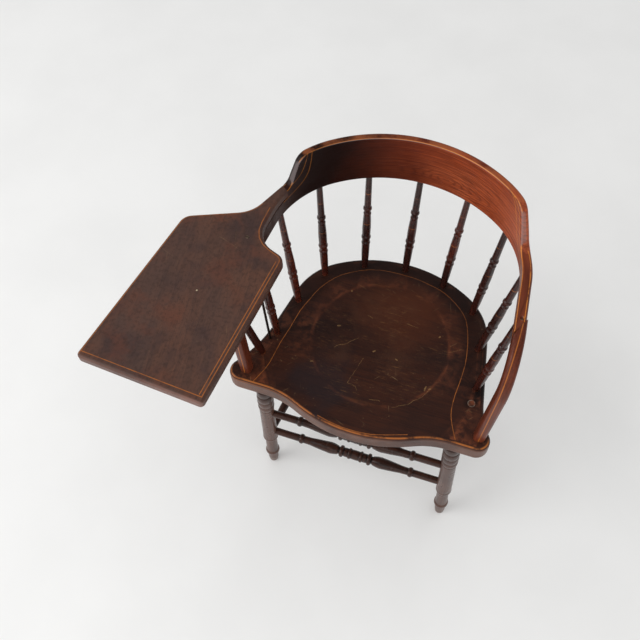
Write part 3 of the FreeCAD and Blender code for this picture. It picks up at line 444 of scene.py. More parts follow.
# %% [markdown]
# ## Seat
#
# The seat is one plank with its grain from side to side, stained almost black and rubbed to
# red-brown where it is sat on. One thin stripe runs round it inside the spindles, a second one
# behind its front edge, and worn paint follows the front arris. The arris is a rounding of known
# radius, so a narrow range of heights on it is a line that follows the edge wherever it goes.
# %% Seat lines
SEAT_RING = [
    (-214, -28), (-203, 0), (-196, 26), (-192, 72), (-185, 111), (-179, 156), (-169, 190),
    (-158, 222), (-136, 256), (-110, 278), (-72, 298), (-30, 306), (15, 306), (37, 304), (60, 299),
    (83, 293), (107, 281), (133, 261), (151, 239), (163, 206), (170, 172), (174, 138), (173, 96),
    (171, 69), (172, 36), (177, 16), (185, -3), (194, -21)]
SEAT_FRONT = [(-68, -54), (-46, -59), (-16, -63), (13, -63), (40, -60), (65, -53), (106, -39)]
seat_lines = [smooth_line([plan(x, y) for x, y in SEAT_RING], 2),
              [plan(x, y) for x, y in SEAT_FRONT]]
print("seat stripes of", [len(line) for line in seat_lines], "points")

# %% Seat stripes
RING_WIDTH, RING_WEAR = 1.6, 0.6
LEVEL_FACE = (0.9, 0.97)
FADES_BACK = (START_Y + 0.1, START_Y + 0.26, 0.95, 0.5)
FRONT_HALF = (START_Y + 0.004, START_Y - 0.012)
ARRIS = (SEAT_TOP - 0.0022, SEAT_TOP - 0.0005, 0.0005)
ARRIS_LEFT = (28.0, 4.0, 0.7, 0.3, 0.55)
# Painted highlight: a thin band just under the front arris, on the left only, in stripe colour.
HIGHLIGHT_LINE = (SEAT_TOP - 0.0066, SEAT_TOP - 0.0042, 0.0006)
HIGHLIGHT_SIDE = (MIDDLE_X - 0.05, MIDDLE_X - 0.11, 0.0, 0.3)


def seat_stripes_and_highlight(tree, place):
    """The painted lines, a painted highlight under the front arris on the left, and the arris."""
    flat = vectors(tree, "MULTIPLY", place, FLAT)
    at = split(tree, place)
    upwards = facing(tree)["Z"]
    ring = painted(tree, place, distance_to(tree, flat, seat_lines), RING_WIDTH, RING_WEAR)
    ring = times(tree, ring, rise(tree, upwards, *LEVEL_FACE))
    ring = times(tree, ring, rise(tree, at["Y"], *FADES_BACK))
    front = rise(tree, at["Y"], *FRONT_HALF)
    arris = band(tree, at["Z"], *ARRIS)
    rubbed = patchy(tree, place, *ARRIS_LEFT)
    arris_highlight = times(tree, band(tree, at["Z"], *HIGHLIGHT_LINE), front)
    arris_highlight = times(tree, arris_highlight, rise(tree, at["X"], *HIGHLIGHT_SIDE))
    return ring, arris_highlight, times(tree, times(tree, arris, front), rubbed)


print("front arris between", [round(level, 4) for level in ARRIS[:2]])

# %% [markdown]
# ## A century of sitting
#
# The dish has a lighter rim and a worn middle, its fine grain shows where the stain has gone,
# and the back outside the ring stays dark because nothing rubs it. The largest scratches and
# flecks are set one by one where the photograph has them, and shaken so that they aren't straight.
# %% Seat dish
DISH, DISH_RIM = plan(0, 134), 0.141
DISH_SWAY, DISH_SWAY_BY = (9.0, 2.0), 0.012
RIM_BAND = (DISH_RIM - 0.0045, DISH_RIM + 0.0005, 0.003)
RIM_LEFT, RIM_SHARE = (16.0, 3.0, 0.6, 0.42, 0.62), 0.42
# The middle, size and colour of each cloud of stain.
CLOUDS = ((plan(25, 225), 0.12, shade(86, 42, 22)), (plan(-85, 20), 0.09, shade(46, 36, 39)))
CLOUD_EDGE, CLOUD_EDGE_BY, CLOUD_CORE, CLOUD_SHARE = (14.0, 3.0), 0.14, 0.3, 0.6
DISH_INSIDE = (DISH_RIM, DISH_RIM - 0.05)
DISH_WORN, DISH_WORN_SHARE = (10.0, 5.0, 0.7, 0.42, 0.64), 0.28
DISH_BROWN = shade(96, 58, 36)
FINE_STRETCH = (0.12, 1.0, 1.0)
FINE_GRAIN, FINE_PATCHES = (420.0, 3.0, 0.7, 0.54, 0.72), (16.0, 3.0, 0.6, 0.4, 0.64)
FINE_REACH, FINE_SHARE = (DISH_RIM + 0.05, DISH_RIM - 0.03), 0.6
FINE_TAN = shade(122, 84, 48)


def dish_wear(tree, place, flat, out, colour):
    """The rubbed rim, two soft clouds of stain, the worn middle and its fine bare grain."""
    rim = times(tree, band(tree, out, *RIM_BAND), patchy(tree, place, *RIM_LEFT))
    colour = stain(tree, colour, rim, RIM_SHARE, RUBBED)
    for middle, size, tone in CLOUDS:
        ragged = sway(tree, noise(tree, place, *CLOUD_EDGE), CLOUD_EDGE_BY)
        near = maths(tree, "ADD", vectors(tree, "DISTANCE", flat, middle, number=True), ragged)
        near = rise(tree, near, size, size * CLOUD_CORE)
        colour = stain(tree, colour, near, CLOUD_SHARE, tone)
    inside = rise(tree, out, *DISH_INSIDE)
    worn = times(tree, inside, patchy(tree, place, *DISH_WORN))
    colour = stain(tree, colour, worn, DISH_WORN_SHARE, DISH_BROWN)
    fine = patchy(tree, vectors(tree, "MULTIPLY", place, FINE_STRETCH), *FINE_GRAIN)
    fine = times(tree, fine, patchy(tree, place, *FINE_PATCHES))
    fine = times(tree, fine, rise(tree, out, *FINE_REACH))
    return stain(tree, colour, fine, FINE_SHARE, FINE_TAN), worn


print("dish", round(2 * DISH_RIM, 3), "m across")

# %% Seat edges
# Painted light: surfaces of the seat that face forward are tinted a lighter brown in patches.
EDGE_UP, EDGE_FRONT = (0.7, 0.35), (0.2, -0.3)
EDGE_PATCHES = (9.0, 4.0, 0.6, 0.35, 0.65, 0.15, 0.7)
EDGE_PAINTED_LIGHT = shade(122, 84, 68)
BEHIND, OUTSIDE = (START_Y + 0.02, START_Y + 0.16), (0.158, 0.185)
BEHIND_SHARE, BEHIND_DARK = 0.6, shade(32, 18, 15)
GRIME_LINE = [plan(214, 92), plan(206, 62)]
GRIME_REACH, GRIME_PATCHES = (0.022, 0.006), (70.0, 3.0, 0.5, 0.35, 0.55)
GRIME_SHARE, GRIME = 0.8, shade(20, 15, 15)


def edge_light_and_stains(tree, place, flat, out, colour):
    """Painted light on the front edge, the dark back outside the ring, and grime by the plug."""
    faces = facing(tree)
    edge = times(tree, rise(tree, faces["Z"], *EDGE_UP), rise(tree, faces["Y"], *EDGE_FRONT))
    edge = times(tree, edge, patchy(tree, place, *EDGE_PATCHES))
    colour = tint(tree, edge, colour, EDGE_PAINTED_LIGHT)
    behind = rise(tree, split(tree, place)["Y"], *BEHIND)
    outside = rise(tree, out, *OUTSIDE)
    colour = tint(tree, times(tree, outside, times(tree, behind, BEHIND_SHARE)), colour,
                  BEHIND_DARK)
    grime = rise(tree, distance_to(tree, flat, [GRIME_LINE]), *GRIME_REACH)
    grime = times(tree, grime, patchy(tree, place, *GRIME_PATCHES))
    return stain(tree, colour, grime, GRIME_SHARE, GRIME)


print("grime within", GRIME_REACH[0], "m of the plug")

# %% Seat marks
SCRATCHES = [
    [(-85, 99), (-80, 105), (-63, 116), (-45, 136)], [(-36, 32), (-29, 64), (-22, 93)],
    [(-36, 32), (-18, 28), (-13, 19)], [(39, 196), (64, 194)], [(-42, 192), (-31, 188)],
    [(14, 10), (37, 12)], [(62, 6), (86, 19), (111, 44), (124, 68)], [(136, 156), (162, 170)]]
FLECKS = [
    [(-94, 149), (-90, 151)], [(39, 112), (43, 110)], [(-91, 234), (-91, 236)],
    [(-119, 53), (-116, 54)], [(110, 184), (111, 186)], [(-7, 115), (-5, 117)],
    [(113, 68), (112, 59)], [(122, 67), (120, 65)]]
# Lines, their width in millimetres, how much of them is worn off, and their share.
MARKS = ((SCRATCHES, 0.9, 1.0, 0.75), (FLECKS, 3.2, 0.5, 0.55))
MARK_TAN = shade(158, 122, 76)
SHAKE, SHAKE_BY = {"Scale": 90.0, "Detail": 2.0}, 0.006


def hand_marks(tree, place, flat, colour):
    """The listed scratches and flecks, on a shaken plan."""
    for lines, width, wear, share in MARKS:
        runs = [[plan(x, y) for x, y in line] for line in lines]
        shaking = put(tree, "TexNoise", {"Vector": place, **SHAKE}).outputs["Color"]
        shaking = vectors(tree, "MULTIPLY", shaking, (SHAKE_BY, SHAKE_BY, 0.0))
        shaken = vectors(tree, "ADD", flat, shaking)
        shaken = vectors(tree, "SUBTRACT", shaken, (SHAKE_BY / 2, SHAKE_BY / 2, 0.0))
        mark = painted(tree, place, distance_to(tree, shaken, runs), width, wear)
        colour = stain(tree, colour, mark, share, MARK_TAN)
    return colour


print(len(SCRATCHES), "scratches and", len(FLECKS), "flecks by hand")

# %% Seat finish
SEAT_STAINS = shade(34, 20, 20), shade(49, 29, 24), shade(70, 36, 23)
WORN_DULL = 0.5


def seat_wear_and_light(tree, place, colour, dull):
    """All that is rubbed, stained and scratched on the seat, and painted light on its front edge.
    """
    flat = vectors(tree, "MULTIPLY", place, FLAT)
    out = vectors(tree, "DISTANCE", flat, DISH, number=True)
    out = maths(tree, "ADD", out, sway(tree, noise(tree, place, *DISH_SWAY), DISH_SWAY_BY))
    colour, worn = dish_wear(tree, place, flat, out, colour)
    colour = edge_light_and_stains(tree, place, flat, out, colour)
    colour = hand_marks(tree, place, flat, colour)
    return colour, maths(tree, "MAXIMUM", dull, times(tree, worn, WORN_DULL))


seat_wood = wood("seat_plank_wood", ACROSS, SEAT_STAINS, rings=34.0, figure=0.35, patch=1.0,
                 rough=0.42, worn=(0.52, 0.6), stripes=seat_stripes_and_highlight, extra=seat_wear_and_light, scratch=0.55)
dress(seat_wood, "seat")

# %% [markdown]
# ## Writing tablet
#
# The tablet is a board with its grain along its length, duller and browner than the seat because
# books have slid over it. One stripe follows its whole edge and a second runs inside it on the
# sitter's side. They are drawn as the board's own outline, set in: each run moves inwards, and
# each corner is where two moved runs cross.
# %% Tablet lines
# Each corner has its radius, which is negative where it is hollow. The ends need none.
RIGHT_EDGE = [(-199.5, -203.5, 0), (-170.5, 99, 20), (-233.5, 123.5, -50), (-228.5, 206, 0)]
LEFT_EDGE = [(-252, 206, 0), (-264.5, 178.5, -60), (-378.5, 132.5, 26), (-433, -187, 0)]
FRONT_EDGE = [(-433, -187, 0), (-199.5, -203.5, 0)]
ARC_STEPS = 4
# An edge, how far in its line runs, and what is trimmed off both ends.
INSETS = ((RIGHT_EDGE, 5.5, 12), (LEFT_EDGE, 4, 6), (FRONT_EDGE, 11, 5), (RIGHT_EDGE[:2], 11, 14))


def set_in(edge, distance, trim):
    """Points along an edge moved inwards, which is to its left, and trimmed at both ends."""
    places = [Vector((x, y)) for x, y, _ in edge]
    radii = [radius for _, _, radius in edge]
    ways = [(after - before).normalized() for before, after in zip(places, places[1:])]
    moves = [Vector((-way.y, way.x)) * distance for way in ways]
    line = [places[0] + moves[0] + ways[0] * trim]
    for way, next_way, move, corner, radius in zip(ways, ways[1:], moves, places[1:], radii[1:]):
        turn = 1 if radius > 0 else -1
        half = math.tan(way.angle(next_way) / 2)
        corner = corner + move - way * (distance * half * turn)
        cut = (abs(radius) - distance * turn) * half
        start, end = corner - way * cut, corner + next_way * cut
        for step in range(ARC_STEPS + 1):
            t = step / ARC_STEPS
            line.append(start * (1 - t) ** 2 + corner * (2 * t * (1 - t)) + end * t ** 2)
    line.append(places[-1] + moves[-1] - ways[-1] * trim)
    return [plan(point.x, point.y) for point in line]


tablet_lines = [set_in(*inset) for inset in INSETS]
print("tablet stripes of", sum(len(line) for line in tablet_lines), "points")

# %% Tablet finish
TABLET_STAINS = shade(56, 43, 40), shade(82, 59, 51), shade(96, 63, 49)
TABLET_WIDTH, TABLET_WEAR = 1.9, 0.5
TABLET_FACE = (TABLET_TOP - 0.0022, TABLET_TOP - 0.0016, 0.0, 0.85)
NICK, NICK_REACH, NICK_PALE = plan(-291, -10, 708), (0.002, 0.001), shade(176, 160, 132)
BLOOM, BLOOM_SHARE, BLOOM_GREY = (5.0, 3.0, 0.6, 0.4, 0.7), 0.25, shade(88, 68, 62)
# The scale of a noise, its colour and its share. The last one is a fine speckle.
BLOTCHES = ((11.0, shade(54, 43, 45), 0.6), (15.0, shade(102, 58, 42), 0.5),
            (160.0, shade(56, 40, 34), 0.4))
BLOTCH_LOOK = (4.0, 0.6, 0.46, 0.68)
# Painted highlight: the tablet's forward-facing front edge is tinted pale pink in patches.
FRONT_FACE, FRONT_PATCHES = (-0.4, -0.75), (12.0, 3.0, 0.5, 0.35, 0.65, 0.2, 0.75)
FRONT_HIGHLIGHT_PINK = shade(138, 104, 94)


def tablet_stripes(tree, place):
    """The painted lines on the tablet's flat face."""
    flat = vectors(tree, "MULTIPLY", place, FLAT)
    height = split(tree, place)["Z"]
    line = painted(tree, place, distance_to(tree, flat, tablet_lines), TABLET_WIDTH, TABLET_WEAR)
    return [times(tree, line, rise(tree, height, *TABLET_FACE))]


def tablet_wear_and_highlight(tree, place, colour, dull):
    """A bloom of old polish, blotches of stain, a painted highlight on the front edge, a pale nick.
    """
    nick = rise(tree, vectors(tree, "DISTANCE", place, NICK, number=True), *NICK_REACH)
    bloom = patchy(tree, place, *BLOOM)
    colour = stain(tree, colour, bloom, BLOOM_SHARE, BLOOM_GREY)
    for scale, tone, share in BLOTCHES:
        elsewhere = vectors(tree, "ADD", place, plan(scale, scale))
        colour = stain(tree, colour, patchy(tree, elsewhere, scale, *BLOTCH_LOOK), share, tone)
    faces = facing(tree)
    front = times(tree, rise(tree, faces["Y"], *FRONT_FACE), patchy(tree, place, *FRONT_PATCHES))
    colour = tint(tree, front, colour, FRONT_HIGHLIGHT_PINK)
    return tint(tree, nick, colour, NICK_PALE), dull


tablet_wood = wood("writing_tablet_wood", ALONG_TABLET, TABLET_STAINS, rings=30.0, figure=0.25,
                   patch=0.7, rough=0.46, worn=(0.52, 0.6), stripes=tablet_stripes,
                   extra=tablet_wear_and_highlight, scratch=0.3)
dress(tablet_wood, "writing_tablet")

# %% [markdown]
# ## Bent rail
#
# The rail was steamed and bent, so its grain follows the bend. Turning a place into polar
# coordinates about the middle of the bend unrolls the rail into a straight board. The stripes on
# its roundings are found by the way the surface faces: on a rounding, each tilt of the normal is
# one thin line along the edge. The two stripes down each scroll are listed point by point, in the
# scroll's own slanting plane.
# %% Rail lines
BEND, BEND_RADIUS = plan(0, 150), 0.24
SCROLL_SKEW = math.radians(35)
SCROLL_PARTS = 3
RIGHT_SCROLL = [
    [(146, 765), (121, 747), (98, 703), (76, 687), (40, 683), (-100, 683)],
    [(150, 764), (133, 743), (110, 697), (84, 677), (40, 671), (-100, 671)]]
LEFT_SCROLL = [
    [(126, 766), (122, 752), (114, 733), (103, 720), (84, 712), (58, 710)],
    [(135, 765), (131, 740), (124, 717), (110, 700), (88, 690), (60, 687)]]


def scroll_runs(lines):
    """Smooth lines in the scroll's plane, from millimetres along it and above the floor."""
    return [smooth_line([Vector((v * MM, z * MM, 0)) for v, z in line], SCROLL_PARTS)
            for line in lines]


def round_the_bend(tree, place):
    """A place on the bent rail as one on a straight board: along, up, and through it."""
    offset = split(tree, vectors(tree, "SUBTRACT", place, BEND))
    angle = maths(tree, "ARCTAN2", offset["X"], offset["Y"])
    out = maths(tree, "SQRT", maths(tree, "ADD", maths(tree, "POWER", offset["X"], 2.0),
                                    maths(tree, "POWER", offset["Y"], 2.0)))
    feeds = {0: times(tree, angle, BEND_RADIUS), 1: offset["Z"], 2: out}
    return put(tree, "CombineXYZ", feeds).outputs[0]


scroll_lines = ((scroll_runs(RIGHT_SCROLL), 1), (scroll_runs(LEFT_SCROLL), -1))
print("scroll stripes of", [len(line) for lines, _ in scroll_lines for line in lines], "points")

# %% Rail stripes
INNER_FACE = (0.6, 0.8)
SCROLL_WIDTH, SCROLL_WEAR = 1.6, 0.6
MIDDLE_SOFT = 0.01
RAIL_PAINT_LEFT = (35.0, 4.0, 0.7, 0.25, 0.5)
# Painted shade: the rail's stripes dim towards its left end.
DIMMED_LEFT_BY_SHADE = (-0.12, 0.1, 0.45, 0.9)
INNER_ARRIS, INNER_SIDE = (0.45, 0.72, 0.05), (0.3, 0.5)
OUTER_ARRIS, OUTER_SIDE = (0.86, 0.94, 0.02), (-0.2, -0.35)
ARMS_ONLY = (0.31, 0.28)


def rail_stripes(tree, place):
    """Lines down each scroll, on the inner arris and on the arms' outer arris, in painted shade."""
    offset = split(tree, vectors(tree, "SUBTRACT", place, plan(0, 0)))
    normal = put(tree, "NewGeometry").outputs["Normal"]
    upwards = split(tree, normal)["Z"]
    inward = vectors(tree, "SUBTRACT", BEND, place)
    inward = vectors(tree, "NORMALIZE", vectors(tree, "MULTIPLY", inward, FLAT))
    inner = vectors(tree, "DOT_PRODUCT", normal, inward, number=True)
    side = maths(tree, "ABSOLUTE", offset["X"])
    across = maths(tree, "SUBTRACT", times(tree, offset["Y"], math.cos(SCROLL_SKEW)),
                   times(tree, side, math.sin(SCROLL_SKEW)))
    face = rise(tree, inner, *INNER_FACE)
    masks = []
    for lines, way in scroll_lines:
        here = put(tree, "CombineXYZ", {0: across, 1: offset["Z"]}).outputs[0]
        mask = painted(tree, place, distance_to(tree, here, lines), SCROLL_WIDTH, SCROLL_WEAR)
        sided = rise(tree, offset["X"], -MIDDLE_SOFT * way, MIDDLE_SOFT * way)
        masks.append(times(tree, times(tree, mask, face), sided))
    rubbed = patchy(tree, place, *RAIL_PAINT_LEFT)
    # Painted shade: every stripe is dimmed towards the rail's left end.
    dimmed_by_shade = rise(tree, offset["X"], *DIMMED_LEFT_BY_SHADE)
    arris = times(tree, band(tree, upwards, *INNER_ARRIS), rise(tree, inner, *INNER_SIDE))
    masks.append(times(tree, arris, rubbed))
    outer = times(tree, band(tree, upwards, *OUTER_ARRIS), rise(tree, inner, *OUTER_SIDE))
    arms = rise(tree, offset["Y"], *ARMS_ONLY)
    masks.append(times(tree, times(tree, outer, arms), rubbed))
    return [times(tree, mask, dimmed_by_shade) for mask in masks]


print("the arms' outer stripe ends", ARMS_ONLY[0], "m behind the posts")

# %% [markdown]
# ## Figure and age of the rail
#
# The middle of the rail shows a cathedral figure: long ovals about one point of the board. Their
# distance from that point is stretched along the board, and a sine of it draws the rings. Painted
# shade darkens the rail towards its left scroll, its crest is rubbed, and a painted highlight lies
# on the surfaces that face forward and tilt up, such as the slopes of the scrolls.
# %% Rail figure
FIGURE_MIDDLE = Vector((0.054, 0.688, 0))
OVAL_BEND, OVAL_HALF = 9.0, 0.03
OVAL_SWAY, OVAL_SWAY_BY = 60.0, 0.012
RING_TURNS = 1700.0
RING_POWER = 3.0
FIGURE_REACH, FIGURE_SHARE = (0.2, 0.05), 0.55
FIGURE_DARK = shade(70, 26, 15)


def cathedral(tree, place, colour):
    """Dark oval rings about one point of the unrolled board, fading along it."""
    board = vectors(tree, "SUBTRACT", round_the_bend(tree, place), FIGURE_MIDDLE)
    at = split(tree, board)
    bow = times(tree, maths(tree, "TANH", times(tree, at["X"], OVAL_BEND)), OVAL_HALF)
    ring = maths(tree, "SQRT", maths(tree, "ADD", times(tree, at["Y"], at["Y"]),
                                     times(tree, bow, bow)))
    swayed = noise(tree, vectors(tree, "MULTIPLY", board, RING_STRETCH), OVAL_SWAY)
    ring = maths(tree, "ADD", ring, times(tree, swayed, OVAL_SWAY_BY))
    wave = maths(tree, "MULTIPLY_ADD", maths(tree, "SINE", times(tree, ring, RING_TURNS)), 0.5, 0.5)
    figure = times(tree, maths(tree, "POWER", wave, RING_POWER),
                   rise(tree, maths(tree, "ABSOLUTE", at["X"]), *FIGURE_REACH))
    return stain(tree, colour, figure, FIGURE_SHARE, FIGURE_DARK)


print("a ring each", round(2000 * math.pi / RING_TURNS, 1), "mm")

# %% Rail finish
RAIL_STAINS = shade(96, 36, 16), shade(160, 70, 36), shade(188, 94, 56)
RAIL_STRIPE = shade(214, 132, 52)
# Painted shade: the rail darkens to brown and then nearly to black towards its left end.
SHADE_SWAY, SHADE_SWAY_BY = (8.0, 3.0), 0.12
SHADED_BROWN_REACH, RAIL_SHADE_BROWN = (0.11, -0.06, 0.0, 0.75), shade(86, 28, 12)
SHADED_BLACK_REACH, RAIL_SHADE_BLACK = (0.03, -0.17, 0.0, 0.97), shade(18, 5, 4)
ARMS_DARK, ARM_BROWN = (0.29, 0.2, 0.0, 0.6), shade(70, 32, 20)
CREST_TOP, CREST_PATCHES = (CREST - 0.003, CREST - 0.0005), (22.0, 4.0, 0.65, 0.35, 0.6)
CREST_SHARE, CREST_WORN = 0.6, shade(158, 88, 50)
# Painted highlight: a pale grey on surfaces that face forward and tilt up, such as scroll slopes.
SLOPE_UP, SLOPE_FRONT = (0.25, 0.6, 0.08), (-0.6, -0.8)
SLOPE_HIGHLIGHT_SHARE, SLOPE_HIGHLIGHT_GREY = 0.45, shade(150, 138, 138)


def rail_wear_and_shade(tree, place, colour, dull):
    """The figure, painted shade on the left end, dark arms, rubbed crest, highlit scroll slopes."""
    offset = split(tree, vectors(tree, "SUBTRACT", place, plan(0, 0)))
    colour = cathedral(tree, place, colour)
    dark = sway(tree, noise(tree, place, *SHADE_SWAY), SHADE_SWAY_BY)
    dark = maths(tree, "ADD", offset["X"], dark)
    colour = tint(tree, rise(tree, dark, *SHADED_BROWN_REACH), colour, RAIL_SHADE_BROWN)
    colour = tint(tree, rise(tree, dark, *SHADED_BLACK_REACH), colour, RAIL_SHADE_BLACK)
    colour = tint(tree, rise(tree, offset["Y"], *ARMS_DARK), colour, ARM_BROWN)
    crest = rise(tree, split(tree, place)["Z"], *CREST_TOP)
    crest = times(tree, crest, patchy(tree, place, *CREST_PATCHES))
    colour = stain(tree, colour, crest, CREST_SHARE, CREST_WORN)
    # Painted highlight on the forward, upward-tilted slopes.
    faces = facing(tree)
    slope_highlight = times(tree, band(tree, faces["Z"], *SLOPE_UP), rise(tree, faces["Y"], *SLOPE_FRONT))
    return stain(tree, colour, slope_highlight, SLOPE_HIGHLIGHT_SHARE, SLOPE_HIGHLIGHT_GREY), dull


rail_wood = wood("bent_rail_wood", round_the_bend, RAIL_STAINS, rings=40.0, figure=0.6, patch=0.4,
                 rough=0.36, worn=(0.52, 0.6), stripes=rail_stripes, stripe=RAIL_STRIPE,
                 extra=rail_wear_and_shade)
dress(rail_wood, "back_rail")

# %% [markdown]
# ## Arm posts
#
# Each post is a flat bent strip with a stripe down the middle of its front. The strip stands in
# one upright plane that leans a little outwards, so the stripe is wherever the distance from
# that plane is small and the surface faces forward or up.
# %% Posts
POST_STAINS = shade(56, 26, 18), shade(96, 44, 28), shade(120, 56, 34)
POST_LEAN, POST_FOOT = 0.055, 0.2352
POST_WIDTH, POST_WEAR = 2.2, 0.4
POST_AHEAD = (0.5, 0.8)


def post_stripes(tree, place):
    """One line down the middle of each post's front."""
    offset = split(tree, vectors(tree, "SUBTRACT", place, plan(0, 0)))
    faces = facing(tree)
    side = maths(tree, "ABSOLUTE", offset["X"])
    above = maths(tree, "SUBTRACT", offset["Z"], SEAT_TOP)
    plane = maths(tree, "MULTIPLY_ADD", above, POST_LEAN, POST_FOOT)
    middle = maths(tree, "ABSOLUTE", maths(tree, "SUBTRACT", side, plane))
    mask = painted(tree, place, middle, POST_WIDTH, POST_WEAR)
    ahead = rise(tree, maths(tree, "SUBTRACT", faces["Z"], faces["Y"]), *POST_AHEAD)
    return [times(tree, mask, ahead)]


post_wood = wood("arm_post_wood", UPRIGHT, POST_STAINS, rings=60.0, figure=0.4, patch=0.5,
                 rough=0.32, worn=(0.52, 0.6), stripes=post_stripes)
dress(post_wood, "arm_post_left", "arm_post_right")

# %% [markdown]
# ## Turned pieces
#
# Spindles, legs and stretchers came off a lathe with the grain along them. The spindles are
# redder, with two faint painted rings each, and every spindle stands between the same levels, so
# the rings are two narrow ranges of height. The legs are greyer, darkened under the seat by
# painted shade and dirt, and scuffed at the floor, and the stretchers are the darkest and the
# glossiest below the seat. The plug in the seat is a slice of such a piece, so it shows end grain,
# and its edge is rubbed pale.
# %% Spindles
SPINDLE_STAINS = shade(24, 10, 9), shade(52, 21, 15), shade(90, 34, 20)
RING_LEVELS, RING_HALF, RING_SOFT = (0.548, 0.618), 0.0008, 0.0004
RING_LEFT = (50.0, 3.0, 0.7, 0.35, 0.65, 0.05, 0.6)
SPINDLE_COUNT = 9


def spindle_rings(tree, place):
    """Two faint rings round every spindle."""
    height = split(tree, place)["Z"]
    rubbed = patchy(tree, place, *RING_LEFT)
    return [times(tree, band(tree, height, level - RING_HALF, level + RING_HALF, RING_SOFT), rubbed)
            for level in RING_LEVELS]


spindle_wood = wood("spindle_wood", UPRIGHT, SPINDLE_STAINS, rings=90.0, figure=0.7, patch=0.6,
                    rough=0.26, stripes=spindle_rings, scratch=0.25, rub=0.4, gloss=0.5)
dress(spindle_wood, *[f"spindle_{place}" for place in range(1, SPINDLE_COUNT + 1)])

# %% Legs
LEG_STAINS = shade(50, 32, 28), shade(84, 61, 54), shade(100, 72, 62)
LEG_SWAY, LEG_SWAY_BY = (30.0, 3.0), 0.1
# Painted shade and dirt: the legs darken towards the top, under the seat.
UNDER_SEAT, UNDER_SEAT_SHADE_AND_DIRT = (0.29, 0.4, 0.0, 0.8), shade(44, 28, 25)
AT_FLOOR, FLOOR_GREY = (0.03, 0.0, 0.0, 0.5), shade(128, 112, 104)


def leg_shade_and_wear(tree, place, colour, dull):
    """Painted shade and dirt darken the legs under the seat, and the feet are scuffed grey."""
    height = split(tree, place)["Z"]
    swayed = sway(tree, noise(tree, place, *LEG_SWAY), LEG_SWAY_BY)
    height = maths(tree, "ADD", height, swayed)
    colour = tint(tree, rise(tree, height, *UNDER_SEAT), colour, UNDER_SEAT_SHADE_AND_DIRT)
    return tint(tree, rise(tree, height, *AT_FLOOR), colour, FLOOR_GREY), dull


leg_wood = wood("leg_wood", UPRIGHT, LEG_STAINS, rings=70.0, figure=0.4, patch=0.5, rough=0.3,
                rub=0.3, extra=leg_shade_and_wear)
dress(leg_wood, "leg_front_left", "leg_front_right", "leg_back_left", "leg_back_right")

# %% Stretchers and brace
STRETCHER_STAINS = shade(24, 14, 13), shade(48, 29, 24), shade(72, 42, 31)
cross_wood = wood("cross_stretcher_wood", ACROSS, STRETCHER_STAINS, rings=80.0, figure=0.5,
                  patch=0.5, rough=0.26, rub=0.3, gloss=0.35)
dress(cross_wood, "stretcher_front_upper", "stretcher_front_lower", "stretcher_back")
side_wood = wood("side_stretcher_wood", BACKWARDS, STRETCHER_STAINS, rings=80.0, figure=0.5,
                 patch=0.5, rough=0.28, rub=0.3, gloss=0.35)
dress(side_wood, "stretcher_side_left", "stretcher_side_right")
brace_wood = wood("brace_wood", UPRIGHT, SPINDLE_STAINS, rings=90.0, figure=0.4, patch=0.5,
                  rough=0.36)
dress(brace_wood, "tablet_brace")

# %% Plug
PLUG_STAINS = shade(24, 17, 16), shade(40, 28, 25), shade(50, 34, 29)
plug_low, plug_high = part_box("seat_plug")
PLUG_MIDDLE = (plug_low + plug_high) / 2
PLUG_RADIUS = (plug_high.x - plug_low.x) / 2
PLUG_EDGE = (PLUG_RADIUS - 0.0025, PLUG_RADIUS - 0.001)
PLUG_PATCHES = (110.0, 2.0, 0.5, 0.35, 0.55)
PLUG_SHARE, PLUG_PALE = 0.75, shade(118, 104, 92)


def plug_wear(tree, place, colour, dull):
    """A pale broken ring where the plug's edge is rubbed."""
    flat = vectors(tree, "MULTIPLY", vectors(tree, "SUBTRACT", place, PLUG_MIDDLE), FLAT)
    out = vectors(tree, "LENGTH", flat, number=True)
    ring = times(tree, rise(tree, out, *PLUG_EDGE), patchy(tree, place, *PLUG_PATCHES))
    return stain(tree, colour, ring, PLUG_SHARE, PLUG_PALE), dull


plug_wood = wood("plug_wood", UPRIGHT, PLUG_STAINS, rings=220.0, figure=0.7, patch=0.8, rough=0.5,
                 worn=(0.505, 0.54), scratch=0.3, extra=plug_wear)
dress(plug_wood, "seat_plug")

# %% [markdown]
# ## Iron
#
# The rod and the screws are plain iron that has gone dark, with brown rust breaking through.
# Rust is neither bright nor smooth, so the same noise drives the colour, the roughness and how
# metallic the surface is.
# %% Iron recipe
IRON_BLOOM, RUST = (240.0, 4.0, 0.6, 0.4, 0.62), (150.0, 5.0, 0.7, 0.45, 0.6)
IRON_EDGES = {"From": 0.51, "To": 0.58}
RUST_METAL, RUST_ROUGH = -0.2, 0.3
IRON_BUMP = {"Strength": 0.2, "Distance": 0.0003}


def iron(name, tones, rusted, rough, metal):
    """Old iron from its bright, dark and rusty colour, with a share of rust."""
    bright, dark, rust = tones
    material, tree, surface = new_material(name)
    place = put(tree, "TexCoord").outputs["Object"]
    bloom = patchy(tree, place, *IRON_BLOOM)
    rusty = times(tree, patchy(tree, place, *RUST), rusted)
    edges = use(tree, edge_wear, {"Position": place, **IRON_EDGES})["Mask"]
    colour = tint(tree, bloom, dark, bright)
    colour = tint(tree, edges, colour, bright)
    colour = tint(tree, rusty, colour, rust)
    metallic = maths(tree, "MULTIPLY_ADD", rusty, RUST_METAL, metal)
    rougher = maths(tree, "MULTIPLY_ADD", rusty, RUST_ROUGH, rough)
    bump = put(tree, "Bump", {"Height": bloom, **IRON_BUMP}).outputs["Normal"]
    feed(tree, surface, {"Base Color": colour, "Metallic": metallic, "Roughness": rougher,
                         "Normal": bump})
    return material


